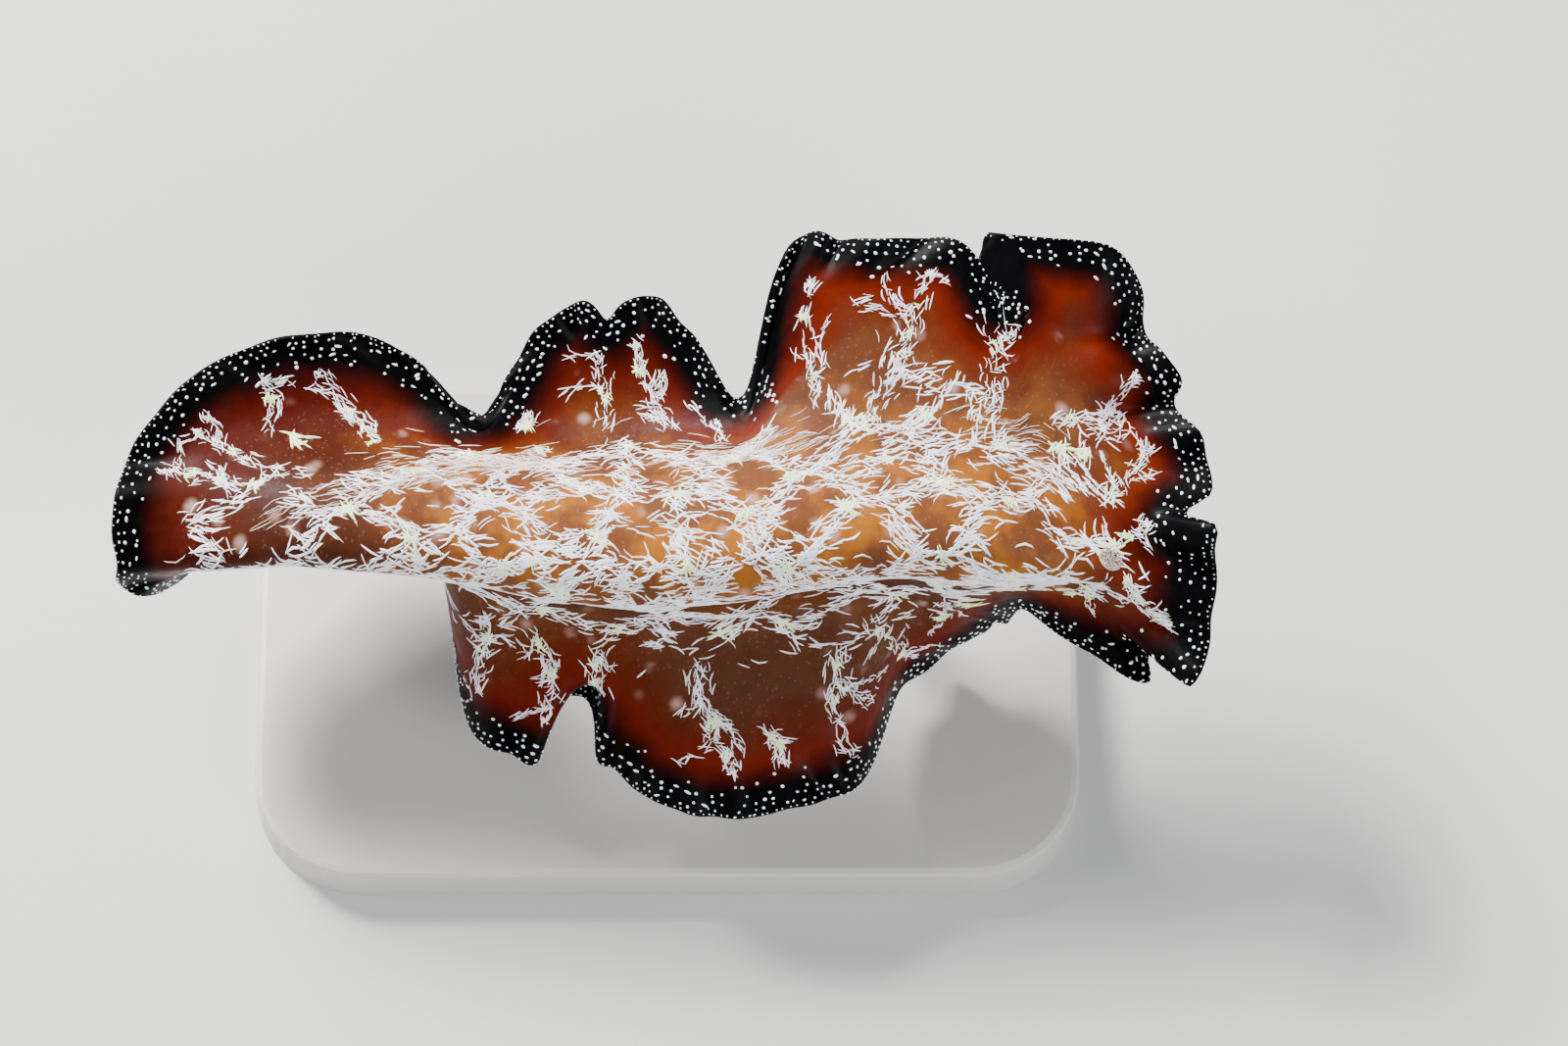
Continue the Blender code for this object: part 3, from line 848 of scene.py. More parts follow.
@dataclass(frozen=True)
class FleshFinish:
    """Moist flesh: a black margin, then maroon, red-orange and brown, and a tan to amber middle.

    A noise is its scale, its layers and their roughness, and its warp where it has one. A span is where a
    step starts and ends and, where they aren't 0 and 1, its results there. Spans over the margin's distance
    are in millimetres, and those over a noise run over its own values.
    """

    black: tuple = (0.0006, 0.0006, 0.0010, 1.0)
    maroon: tuple = (0.019, 0.0012, 0.0006, 1.0)
    red_orange: tuple = (0.088, 0.0052, 0.0008, 1.0)
    rust: tuple = (0.074, 0.0120, 0.0036, 1.0)
    brown: tuple = (0.068, 0.0215, 0.0100, 1.0)
    tan: tuple = (0.120, 0.0400, 0.0150, 1.0)
    amber: tuple = (0.270, 0.0900, 0.0100, 1.0)
    pale_spot: tuple = (0.480, 0.300, 0.250, 1.0)
    violet: tuple = (0.060, 0.035, 0.060, 1.0)
    mottle_shade: tuple = (0.55, 0.42, 0.36, 1.0)
    rear_shade: tuple = (0.46, 0.36, 0.42, 1.0)
    # Painted shade: the darker tone laid on the curtain just below the ridge, where the ridge's shade
    # falls.
    ridge_painted_shade: tuple = (0.50, 0.38, 0.34, 1.0)
    ramp_reach: float = 16.0
    ramp_places: tuple = (0.088, 0.118, 0.185, 0.27, 0.38, 0.75)
    cloud_noise: tuple = (0.32, 3.0, 0.55)
    fine_noise: tuple = (1.4, 3.0, 0.6)
    mottle_noise: tuple = (0.9, 4.0, 0.65, 0.4)
    cloud_wander: float = 1.7
    fine_wander: float = 0.5
    wander_span: tuple = (1.0, 7.0, 0.35, 2.4)
    rear_hold_span: tuple = (2.0, 7.0, 0.0, -2.6)
    amber_span: tuple = (0.42, 0.62)
    inner_span: tuple = (1.9, 4.5)
    mottle_span: tuple = (0.35, 0.75, 0.0, 0.35)
    spot_scale: float = 0.70
    spot_span: tuple = (0.0, 0.40, 1.0, 0.0)
    spot_shuffle: float = 7.3
    spot_choice: tuple = (0.40, 0.45)
    spot_clouds: tuple = (0.40, 0.52)
    spot_inside: tuple = (3.0, 4.0)
    spot_strength: float = 0.62
    dust_scale: float = 3.2
    dust_span: tuple = (0.10, 0.30, 0.08, 0.0)
    dust_inside: tuple = (3.0, 6.0)
    underside_span: tuple = (0.8, 2.6)
    gloss_noise: tuple = (900.0, 3.0, 0.6)
    gloss_span: tuple = (0.3, 0.7, 0.40, 0.54)
    grain_noise: tuple = (2600.0, 3.0, 0.6)
    grain_relief: tuple = (0.00003, 0.5)
    pore_noise: tuple = (520.0, 2.0, 0.5)
    pore_relief: tuple = (0.00010, 0.6)
    specular_span: tuple = (1.2, 3.0, 0.03, 0.045)
    coat_weight: float = 0.008
    coat_roughness: float = 0.12
    softness: float = 0.06
    softness_depth: float = 0.0005

    def material(self) -> bpy.types.Material:
        """Builds the material of the one skin.

        Returns:
            The material.
        """
        board = NodeBoard("moist_flesh")
        place = board.object_place()
        flat = board.attribute("flat_mm", "Vector")
        margin = board.attribute("margin_mm")
        cloud = board.noise(flat, *self.cloud_noise)
        back = self.zones(board, flat, margin, cloud)
        back = self.shaded(board, flat, back)
        back = self.spotted(board, flat, margin, cloud, back)
        underside = board.mix(board.spread(margin, *self.underside_span), self.black, self.violet)
        grain = board.bump(board.noise(place, *self.grain_noise), *self.grain_relief)
        board.surface(base_color=board.mix(board.attribute("belly"), back, underside),
                      roughness=board.spread(board.noise(place, *self.gloss_noise), *self.gloss_span),
                      normal=board.bump(board.noise(place, *self.pore_noise), *self.pore_relief, grain),
                      specular_ior_level=board.spread(margin, *self.specular_span),
                      coat_weight=self.coat_weight, coat_roughness=self.coat_roughness,
                      subsurface_weight=self.softness, subsurface_scale=self.softness_depth)
        return board.material

    def zones(self, board: NodeBoard, flat: bpy.types.NodeSocket, margin: bpy.types.NodeSocket,
              cloud: bpy.types.NodeSocket) -> bpy.types.NodeSocket:
        """The bands of colour from the margin inwards, on a wandering distance, and the warm middle.

        Args:
            board: The material's nodes.
            flat: The place on the flat leaf.
            margin: The distance from the margin.
            cloud: The large clouds.

        Returns:
            The colour.
        """
        fine = board.noise(flat, *self.fine_noise)
        wander = board.math("MULTIPLY_ADD", cloud, self.cloud_wander, -0.5 * self.cloud_wander)
        fine_wander = board.math("MULTIPLY_ADD", fine, self.fine_wander, -0.5 * self.fine_wander)
        deep = board.math("MULTIPLY", board.spread(margin, *self.wander_span), wander)
        held = board.math("MULTIPLY", board.attribute("rear"), board.spread(margin, *self.rear_hold_span))
        warped = board.math("ADD", board.math("ADD", margin, held), board.math("ADD", deep, fine_wander))
        share = board.math("DIVIDE", warped, self.ramp_reach, clamp=True)
        bands = (self.black, self.maroon, self.red_orange, self.rust, self.brown, self.brown)
        zones = board.ramp(share, ((0.0, self.black), (1.0, self.tan), *zip(self.ramp_places, bands)))
        middle = board.mix(board.spread(cloud, *self.amber_span), self.tan, self.amber)
        inner = board.math("MULTIPLY", board.attribute("spine"), board.spread(margin, *self.inner_span))
        return board.mix(inner, zones, middle)

    def shaded(self, board: NodeBoard, flat: bpy.types.NodeSocket,
               coloured: bpy.types.NodeSocket) -> bpy.types.NodeSocket:
        """The colour with its mottling, its darker rear, and painted shade on its side below the ridge.

        Args:
            board: The material's nodes.
            flat: The place on the flat leaf.
            coloured: The colour so far.

        Returns:
            The colour.
        """
        mottle = board.spread(board.noise(flat, *self.mottle_noise), *self.mottle_span)
        # The last of these shades is painted shade on the curtain below the ridge.
        shades = ((mottle, self.mottle_shade), (board.attribute("rear"), self.rear_shade),
                  (board.attribute("painted_shade_below_ridge"), self.ridge_painted_shade))
        for share, shade in shades:
            coloured = board.mix(share, coloured, board.mix(1.0, coloured, shade, "MULTIPLY"))
        return coloured

    def spotted(self, board: NodeBoard, flat: bpy.types.NodeSocket, margin: bpy.types.NodeSocket,
                cloud: bpy.types.NodeSocket, coloured: bpy.types.NodeSocket) -> bpy.types.NodeSocket:
        """The colour with its blurred pale spots, in clusters, and a fine pale dust.

        Args:
            board: The material's nodes.
            flat: The place on the flat leaf.
            margin: The distance from the margin.
            cloud: The large clouds, which hold the clusters.
            coloured: The colour so far.

        Returns:
            The colour.
        """
        cells = board.cells(flat, self.spot_scale)
        spots = board.spread(cells.outputs["Distance"], *self.spot_span)
        shuffled = board.math("FRACT", board.math("MULTIPLY", cells.outputs["Color"], self.spot_shuffle))
        for share in (board.math("MULTIPLY", board.spread(shuffled, *self.spot_choice),
                                 board.spread(cloud, *self.spot_clouds)),
                      board.spread(margin, *self.spot_inside)):
            spots = board.math("MULTIPLY", spots, share)
        coloured = board.mix(board.math("MULTIPLY", spots, self.spot_strength), coloured, self.pale_spot)
        dust = board.spread(board.cells(flat, self.dust_scale).outputs["Distance"], *self.dust_span)
        dust = board.math("MULTIPLY", dust, board.spread(margin, *self.dust_inside))
        return board.mix(dust, coloured, self.pale_spot)


@dataclass
class Skin:
    """One skin for all of the flesh, back and belly, with a rounded edge thinner than the solids'."""

    leaf: LeafShape
    margin: MarginMap
    around: int = 560
    rings: int = 158
    back_rings: int = 92
    rim_rings: int = 8
    rim_thickness: float = 0.30
    sunk: float = 0.02
    crowding: float = 1.25
    belly_span: tuple = (0.35, 0.75)
    thin_band_at: float = 6.4
    thin_band_spread: float = 1.6
    thin_band_loss: float = 0.34
    thin_band_left: tuple = (3.0, 5.0)
    spine_width: float = 6.5
    cold_rear: float = 0.15
    cold_head: float = 0.6
    warm_from: tuple = (-23.0, -9.0)
    warm_to: tuple = (19.0, 25.0)
    # Where the painted shade below the ridge lies, in millimetres on the flat leaf.
    painted_shade_from: tuple = (4.6, 5.8)
    painted_shade_to: tuple = (6.4, 9.4)
    painted_shade_rear: tuple = (-14.0, -8.0)
    painted_shade_front: tuple = (17.0, 22.0)
    rear_span: tuple = (-20.0, -8.0)
    middle_lobe_shade: float = 0.6
    middle_lobe_ahead: tuple = (0.0, 4.0)
    middle_lobe_left: tuple = (4.0, 6.0)

    def build(self, nodes: list[str]) -> None:
        """Makes the skin from a ball of rings: its north half is the back, its south half the belly.

        Args:
            nodes: The flesh nodes that the skin stands for.
        """
        bm = bmesh.new()
        bmesh.ops.create_uvsphere(bm, u_segments=self.around, v_segments=self.rings, radius=1.0)
        mesh = mesh_from("worm_skin", bm)
        ball = points_of(mesh)
        theta = np.arctan2(ball[:, 1], ball[:, 0])
        turn = np.arctan2(np.hypot(ball[:, 0], ball[:, 1]), ball[:, 2])
        ring = np.round(turn / math.pi * self.rings)
        belly_start = self.back_rings + self.rim_rings
        back_run = np.clip(ring / self.back_rings, 0.0, 1.0)
        belly_run = np.clip((self.rings - ring) / (self.rings - belly_start), 0.0, 1.0)
        run = np.where(ring < belly_start, back_run, belly_run)
        radius = self.leaf.leaf_radius(np.ones(theta.shape), theta)
        lip = 0.5 * self.rim_thickness / radius
        rho = (1.0 - lip) * (1.0 - (1.0 - run) ** self.crowding)
        swing = np.clip((ring - self.back_rings) / self.rim_rings, 0.0, 1.0) * math.pi
        rho = rho + lip * np.sin(swing)
        full = self.leaf.thickness(rho, theta, self.rim_thickness)
        height = -self.sunk - full * 0.5 * (1.0 - np.cos(swing))
        set_points(mesh, self.leaf.back(rho, theta, height))
        point_value(mesh, "belly", ease(swing, *(share * math.pi for share in self.belly_span)))
        self.mark(mesh, rho, theta)
        mesh.materials.append(FleshFinish().material())
        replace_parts(finish_object("worm_skin", mesh), *nodes)

    def mark(self, mesh: bpy.types.Mesh, rho: np.ndarray, theta: np.ndarray) -> None:
        """Stores what the finish reads at each point: flat places, the margin's distance, the tones and the
        painted shade.

        Args:
            mesh: The skin's mesh.
            rho: Places from the middle to the margin.
            theta: Places round the leaf.
        """
        ahead, left = self.leaf.flat_place(rho, theta)
        point_value(mesh, "flat_mm", np.stack([ahead, left, np.zeros(ahead.shape)], axis=-1))
        flank = (ahead - self.thin_band_at) / self.thin_band_spread
        thin = self.thin_band_loss * np.exp(-flank * flank) * ease(left, *self.thin_band_left)
        point_value(mesh, "margin_mm", self.margin.distance_at(rho, theta) / (head_band(theta) - thin))
        warm = self.cold_rear + (1.0 - self.cold_rear) * ease(ahead, *self.warm_from)
        warm = warm * (1.0 - self.cold_head * ease(ahead, *self.warm_to))
        point_value(mesh, "spine", warm * np.exp(-(left / self.spine_width) ** 2))
        # Painted shade on the curtain just below the ridge, where the ridge's shade falls.
        below = ease(-left, *self.painted_shade_from) * (1.0 - ease(-left, *self.painted_shade_to))
        below = below * ease(ahead, *self.painted_shade_rear) * (1.0 - ease(ahead, *self.painted_shade_front))
        point_value(mesh, "painted_shade_below_ridge", below)
        lobe = (1.0 - ease(ahead, *self.middle_lobe_ahead)) * ease(left, *self.middle_lobe_left)
        rear = 1.0 - ease(ahead, *self.rear_span)
        point_value(mesh, "rear", np.maximum(rear, self.middle_lobe_shade * lobe))


@dataclass(frozen=True)
class FleckFinish:
    """White matter in the skin: its colour, the colour where it lies deeper, and how it takes the light."""

    name: str
    bright: tuple
    deep: tuple
    roughness: float = 0.45
    cloud_noise: tuple = (700.0, 3.0, 0.6)
    cloud_span: tuple = (0.3, 0.7, 0.88, 1.0)
    grain_noise: tuple = (6000.0, 2.0, 0.6)
    grain_relief: tuple = (0.00001, 0.5)
    softness: float = 0.1
    softness_depth: float = 0.0003

    def material(self) -> bpy.types.Material:
        """Builds the material, which reads how deep each fleck lies.

        Returns:
            The material.
        """
        board = NodeBoard(self.name)
        place = board.object_place()
        shade = board.spread(board.noise(place, *self.cloud_noise), *self.cloud_span)
        grey = board.mix(shade, (0.0, 0.0, 0.0, 1.0), (1.0, 1.0, 1.0, 1.0))
        tone = board.mix(board.attribute("deep"), self.bright, self.deep)
        board.surface(base_color=board.mix(1.0, tone, grey, "MULTIPLY"), roughness=self.roughness,
                      normal=board.bump(board.noise(place, *self.grain_noise), *self.grain_relief),
                      subsurface_weight=self.softness, subsurface_scale=self.softness_depth)
        return board.material


@dataclass
class Flecks:
    """Many small marks to lay on the back: flat places, directions and sizes, one row for each."""

    ahead: list = field(default_factory=list)
    left: list = field(default_factory=list)
    heading: list = field(default_factory=list)
    length: list = field(default_factory=list)
    width: list = field(default_factory=list)
    curl: list = field(default_factory=list)
    deep: list = field(default_factory=list)

    def add(self, ahead: float, left: float, heading: float, length: float, width: float,
            curl: float = 0.0, deep: float = 0.0) -> None:
        """Adds one mark.

        Args:
            ahead: Its place on the flat leaf.
            left: Its place on the flat leaf.
            heading: Its heading there.
            length: Its length.
            width: Its width.
            curl: How far it is bent, as a share of its length.
            deep: How deep it lies, from 0 to 1.
        """
        for store, value in zip(vars(self).values(), (ahead, left, heading, length, width, curl, deep)):
            store.append(value)

    def __len__(self) -> int:
        """How many marks there are."""
        return len(self.ahead)

    def rows(self, start: int, stop: int) -> dict[str, np.ndarray]:
        """The marks from start to stop, as arrays."""
        return {name: np.array(values[start:stop], float) for name, values in vars(self).items()}


class FleckShape(Enum):
    """The small solid that a mark is made of: sides round it, rings along it."""

    STREAK = (4, 4)
    DOT = (6, 4)


@dataclass
class FleckLayer:
    """Lays joined copies of one small solid on the back, half sunk in the skin."""

    leaf: LeafShape
    most_triangles: int = 190000
    outermost_rho: float = 0.999
    patch: float = 0.0015
    unwrap_width: float = 70.0

    def solids(self, name: str, shape: FleckShape, count: int) -> tuple[bpy.types.Mesh, int]:
        """Joined copies of one small ball, pointing along X.

        Args:
            name: The mesh's name.
            shape: How round the ball is.
            count: How many copies.

        Returns:
            The joined mesh and the number of points in each copy.
        """
        sides, rings = shape.value
        bm = bmesh.new()
        bmesh.ops.create_uvsphere(bm, u_segments=sides, v_segments=rings, radius=1.0)
        bmesh.ops.rotate(bm, verts=bm.verts, cent=(0.0, 0.0, 0.0),
                         matrix=Matrix.Rotation(math.pi / 2, 3, "Y"))
        one = mesh_from(name + "_one", bm)
        carrier = bpy.data.objects.new(name + "_one", one)
        bpy.context.scene.collection.objects.link(carrier)
        array = carrier.modifiers.new("copies", "ARRAY")
        array.count = count
        array.use_relative_offset = False
        array.use_constant_offset = True
        array.constant_offset_displace = (0.0, 0.0, 0.0)
        depsgraph = bpy.context.evaluated_depsgraph_get()
        joined = bpy.data.meshes.new_from_object(carrier.evaluated_get(depsgraph))
        joined.name = name
        points = len(one.vertices)
        bpy.data.objects.remove(carrier)
        bpy.data.meshes.remove(one)
        return joined, points

    def lay(self, name: str, marks: Flecks, shape: FleckShape, height: float, slot: str,
            material: bpy.types.Material) -> None:
        """Makes the pieces of one kind of mark, parted so that each stays a moderate size.

        Args:
            name: The pieces' name.
            marks: Where the marks lie.
            shape: The small solid.
            height: How far a mark stands proud, in millimetres.
            slot: The record's material slot.
            material: The marks' finish.
        """
        sides, rings = shape.value
        triangles = 2 * sides * (rings - 1)
        share = max(1, math.ceil(len(marks) * triangles / self.most_triangles))
        size = math.ceil(len(marks) / share)
        for index, start in enumerate(range(0, len(marks), size)):
            rows = marks.rows(start, start + size)
            title = name if share == 1 else f"{name}_{index + 1}"
            self.piece(title, rows, shape, height, slot, material)

    def piece(self, name: str, rows: dict[str, np.ndarray], shape: FleckShape, height: float,
              slot: str, material: bpy.types.Material) -> None:
        """Makes one piece of marks.

        Args:
            name: The piece's name.
            rows: The marks, as arrays.
            shape: The small solid.
            height: How far a mark stands proud, in millimetres.
            slot: Not used.
            material: The marks' finish.
        """
        count = len(rows["ahead"])
        mesh, points = self.solids(name, shape, count)
        ball = points_of(mesh)
        row = {key: np.repeat(value, points) for key, value in rows.items()}
        along = ball[:, 0] * 0.5 * row["length"]
        across = ball[:, 1] * 0.5 * row["width"]
        across = across + row["curl"] * 0.5 * row["length"] * (ball[:, 0] ** 2 - 0.5)
        forward, sideways = self.leaf.true_steps(rows["ahead"], rows["left"], rows["heading"])
        forward = np.repeat(forward, points, axis=0)
        sideways = np.repeat(sideways, points, axis=0)
        ahead = row["ahead"] + along * forward[:, 0] + across * sideways[:, 0]
        left = row["left"] + along * forward[:, 1] + across * sideways[:, 1]
        rho, theta = self.leaf.polar_place(ahead, left)
        rho = np.minimum(rho, self.outermost_rho)
        set_points(mesh, self.leaf.back(rho, theta, ball[:, 2] * height - Skin.sunk))
        point_value(mesh, "deep", row["deep"])
        self.unwrap(mesh, ball, row)
        mesh.materials.append(material)
        finish_object(name, mesh)

    def unwrap(self, mesh: bpy.types.Mesh, ball: np.ndarray, row: dict[str, np.ndarray]) -> None:
        """Gives each mark a small patch at its root's place on the flat leaf.

        Args:
            mesh: The joined mesh.
            ball: Its points on their small balls.
            row: The marks, one row for each point.
        """
        u = 0.5 + row["ahead"] / self.unwrap_width + ball[:, 0] * self.patch
        v = 0.5 + row["left"] / self.unwrap_width + ball[:, 1] * self.patch
        corner = np.empty(len(mesh.loops), np.int32)
        mesh.loops.foreach_get("vertex_index", corner)
        layer = mesh.uv_layers.new(name="OFBake")
        layer.data.foreach_set("uv", np.stack([u[corner], v[corner]], axis=-1).astype(np.float32).ravel())


@dataclass(frozen=True)
class Ray:
    """A branch of streaks that runs from the net towards the margin, on the flat leaf, in millimetres."""

    start: tuple
    end: tuple
    width: float = 1.5
    thick: float = 1.0
    star: bool = True


RAYS = {
    "rear_1": Ray((-21.6, 5.8), (-20.0, 9.9), 1.5),
    "rear_2": Ray((-15.4, 5.4), (-17.3, 9.9), 1.5),
    "rear_3": Ray((-22.5, 2.0), (-27.2, 4.0), 1.3),
    "rear_4": Ray((-19.0, 2.6), (-24.2, 6.6), 1.2),
    "middle_1": Ray((-7.4, 7.5), (-7.4, 11.9), 1.2),
    "middle_2": Ray((-3.2, 7.2), (-4.3, 12.0), 1.5),
    "middle_3": Ray((0.6, 6.6), (-1.1, 11.8), 1.3),
    "middle_4": Ray((3.1, 6.4), (2.2, 11.4), 1.1, 0.7, False),
    "front_1": Ray((8.3, 6.4), (7.4, 13.0), 1.2, 0.6),
    "front_2": Ray((11.4, 5.0), (14.2, 13.6), 2.0, 1.1),
    "front_3": Ray((17.0, 5.6), (20.4, 13.4), 1.7, 1.0),
    "front_4": Ray((21.4, 6.4), (24.4, 11.8), 1.2, 0.8),
    "front_5": Ray((22.6, 4.4), (25.4, 8.0), 1.2, 0.8),
    "front_6": Ray((24.0, 2.6), (27.2, 5.8), 1.2, 0.9),
    "right_1": Ray((-9.6, -9.4), (-10.6, -13.9), 1.2, 1.0),
    "right_2": Ray((-7.2, -9.6), (-7.4, -14.6), 1.4, 1.0),
    "right_3": Ray((-3.6, -10.6), (-3.4, -15.2), 2.2, 1.2),
    "right_4": Ray((2.0, -11.4), (0.9, -17.4), 1.7, 1.2),
    "right_5": Ray((5.4, -15.2), (6.6, -17.0), 1.3, 1.1),
    "right_6": Ray((9.4, -11.0), (10.6, -17.0), 1.4, 1.1),
    "right_7": Ray((11.0, -10.0), (12.6, -15.2), 1.2, 0.9),
    "right_8": Ray((15.6, -8.6), (15.8, -12.4), 1.2, 0.8),
    "front_right": Ray((23.2, -3.0), (24.6, -5.4), 1.2, 0.9),
    "head_right": Ray((25.0, -0.4), (27.2, -2.4), 1.2, 0.9),
    "head_left": Ray((24.6, 1.2), (27.0, 2.4), 1.2, 0.9),
}


@dataclass(frozen=True)
class Comb:
    """The way that the streaks lie over the back: down the body, and up into the left front lobe.

    A turn is in radians. Spans run over places on the flat leaf, in millimetres.
    """

    lobe_turn: float = 0.85
    lobe_rear: tuple = (0.0, 8.0)
    lobe_front: tuple = (19.0, 23.0)
    lobe_left: tuple = (1.5, 7.0)
    rear_turn: float = 0.25
    rear_ahead: tuple = (-9.0, -3.0)
    rear_left: tuple = (1.0, 6.0)
    head_share: float = 0.8
    head_from: tuple = (17.0, 22.0)
    head_aim: float = 24.5
    head_least_run: float = 1.5
    swirl: float = 0.16
    swirl_waves: tuple = (0.9, 1.7, 0.8)

    def heading(self, ahead: np.ndarray, left: np.ndarray) -> np.ndarray:
        """Heading that the streaks are combed along.

        Args:
            ahead: Places on the flat leaf.
            left: Places on the flat leaf.

        Returns:
            The headings.
        """
        front = ease(ahead, *self.lobe_rear) * (1.0 - ease(ahead, *self.lobe_front))
        upward = self.lobe_turn * front * ease(left, *self.lobe_left)
        rear = self.rear_turn * (1.0 - ease(ahead, *self.rear_ahead)) * ease(left, *self.rear_left)
        to_head = np.arctan2(-left, np.maximum(self.head_aim - ahead, self.head_least_run))
        to_head = to_head * ease(ahead, *self.head_from) * self.head_share
        along, bent, across = self.swirl_waves
        swirl = self.swirl * np.sin(along * ahead + bent * np.sin(across * left))
        return upward + rear + to_head + swirl


@dataclass(frozen=True)
class NetCover:
    """Where the net lies and how thick it is: its edges are spans on the flat leaf, in millimetres."""

    ends_middle: float = 2.0
    ends_span: tuple = (18.0, 25.0)
    ends_loss: float = 0.55
    rear_taper: float = 0.30
    rear_taper_span: tuple = (-20.0, -7.0)
    fan_at: float = 11.2
    fan_lean: float = 0.35
    fan_width: float = 3.4
    left_edge: tuple = (4.4, 7.2)
    left_edge_fan: tuple = (0.8, 5.4)
    right_edge: tuple = (8.8, 12.2)
    cloud_ahead: tuple = (0.55, 1.3, 0.7)
    cloud_left: tuple = (0.9, 0.6)

    def share(self, ahead: np.ndarray, left: np.ndarray) -> np.ndarray:
        """The net between its edges: over the middle, tapered to the rear and fanned into the front lobe.

        Args:
            ahead: Places on the flat leaf.
            left: Places on the flat leaf.

        Returns:
            The shares, from 0 to 1.
        """
        ends = 1.0 - ease(np.abs(ahead - self.ends_middle), *self.ends_span) * self.ends_loss
        taper = self.rear_taper + (1.0 - self.rear_taper) * ease(ahead, *self.rear_taper_span)
        fan = np.exp(-((ahead - self.fan_lean * left - self.fan_at) / self.fan_width) ** 2)
        low, high = ((edge + gain * fan) * taper for edge, gain in zip(self.left_edge, self.left_edge_fan))
        right = 1.0 - ease(-left, *(edge * ends for edge in self.right_edge))
        return (1.0 - ease(left, low, high)) * right

    def cloud(self, ahead: np.ndarray, left: np.ndarray) -> np.ndarray:
        """Slow swells, from 0 to 1, of how thick the net is.

        Args:
            ahead: Places on the flat leaf.
            left: Places on the flat leaf.

        Returns:
            The swells.
        """
        along, bent, across = self.cloud_ahead
        waves, phase = self.cloud_left
        swell = np.sin(along * ahead + bent * np.sin(across * left))
        return 0.5 + 0.5 * swell * np.cos(waves * left + phase)


@dataclass(frozen=True)
class Crease:
    """Fine lines past a notch: their middle, spread and slope on the flat leaf, and how many."""

    ahead: float
    spread: float
    left: float
    lines: int
    slope: float = 0.0


CREASES = {
    "left_rear": Crease(-9.9, 2.8, 3.4, 130),
    "left_middle": Crease(4.4, 2.6, 3.8, 200, 0.05),
    "left_front": Crease(19.1, 1.4, 4.6, 50),
    "rear_lobe": Crease(-13.0, 4.4, 1.9, 230, 0.28),
}


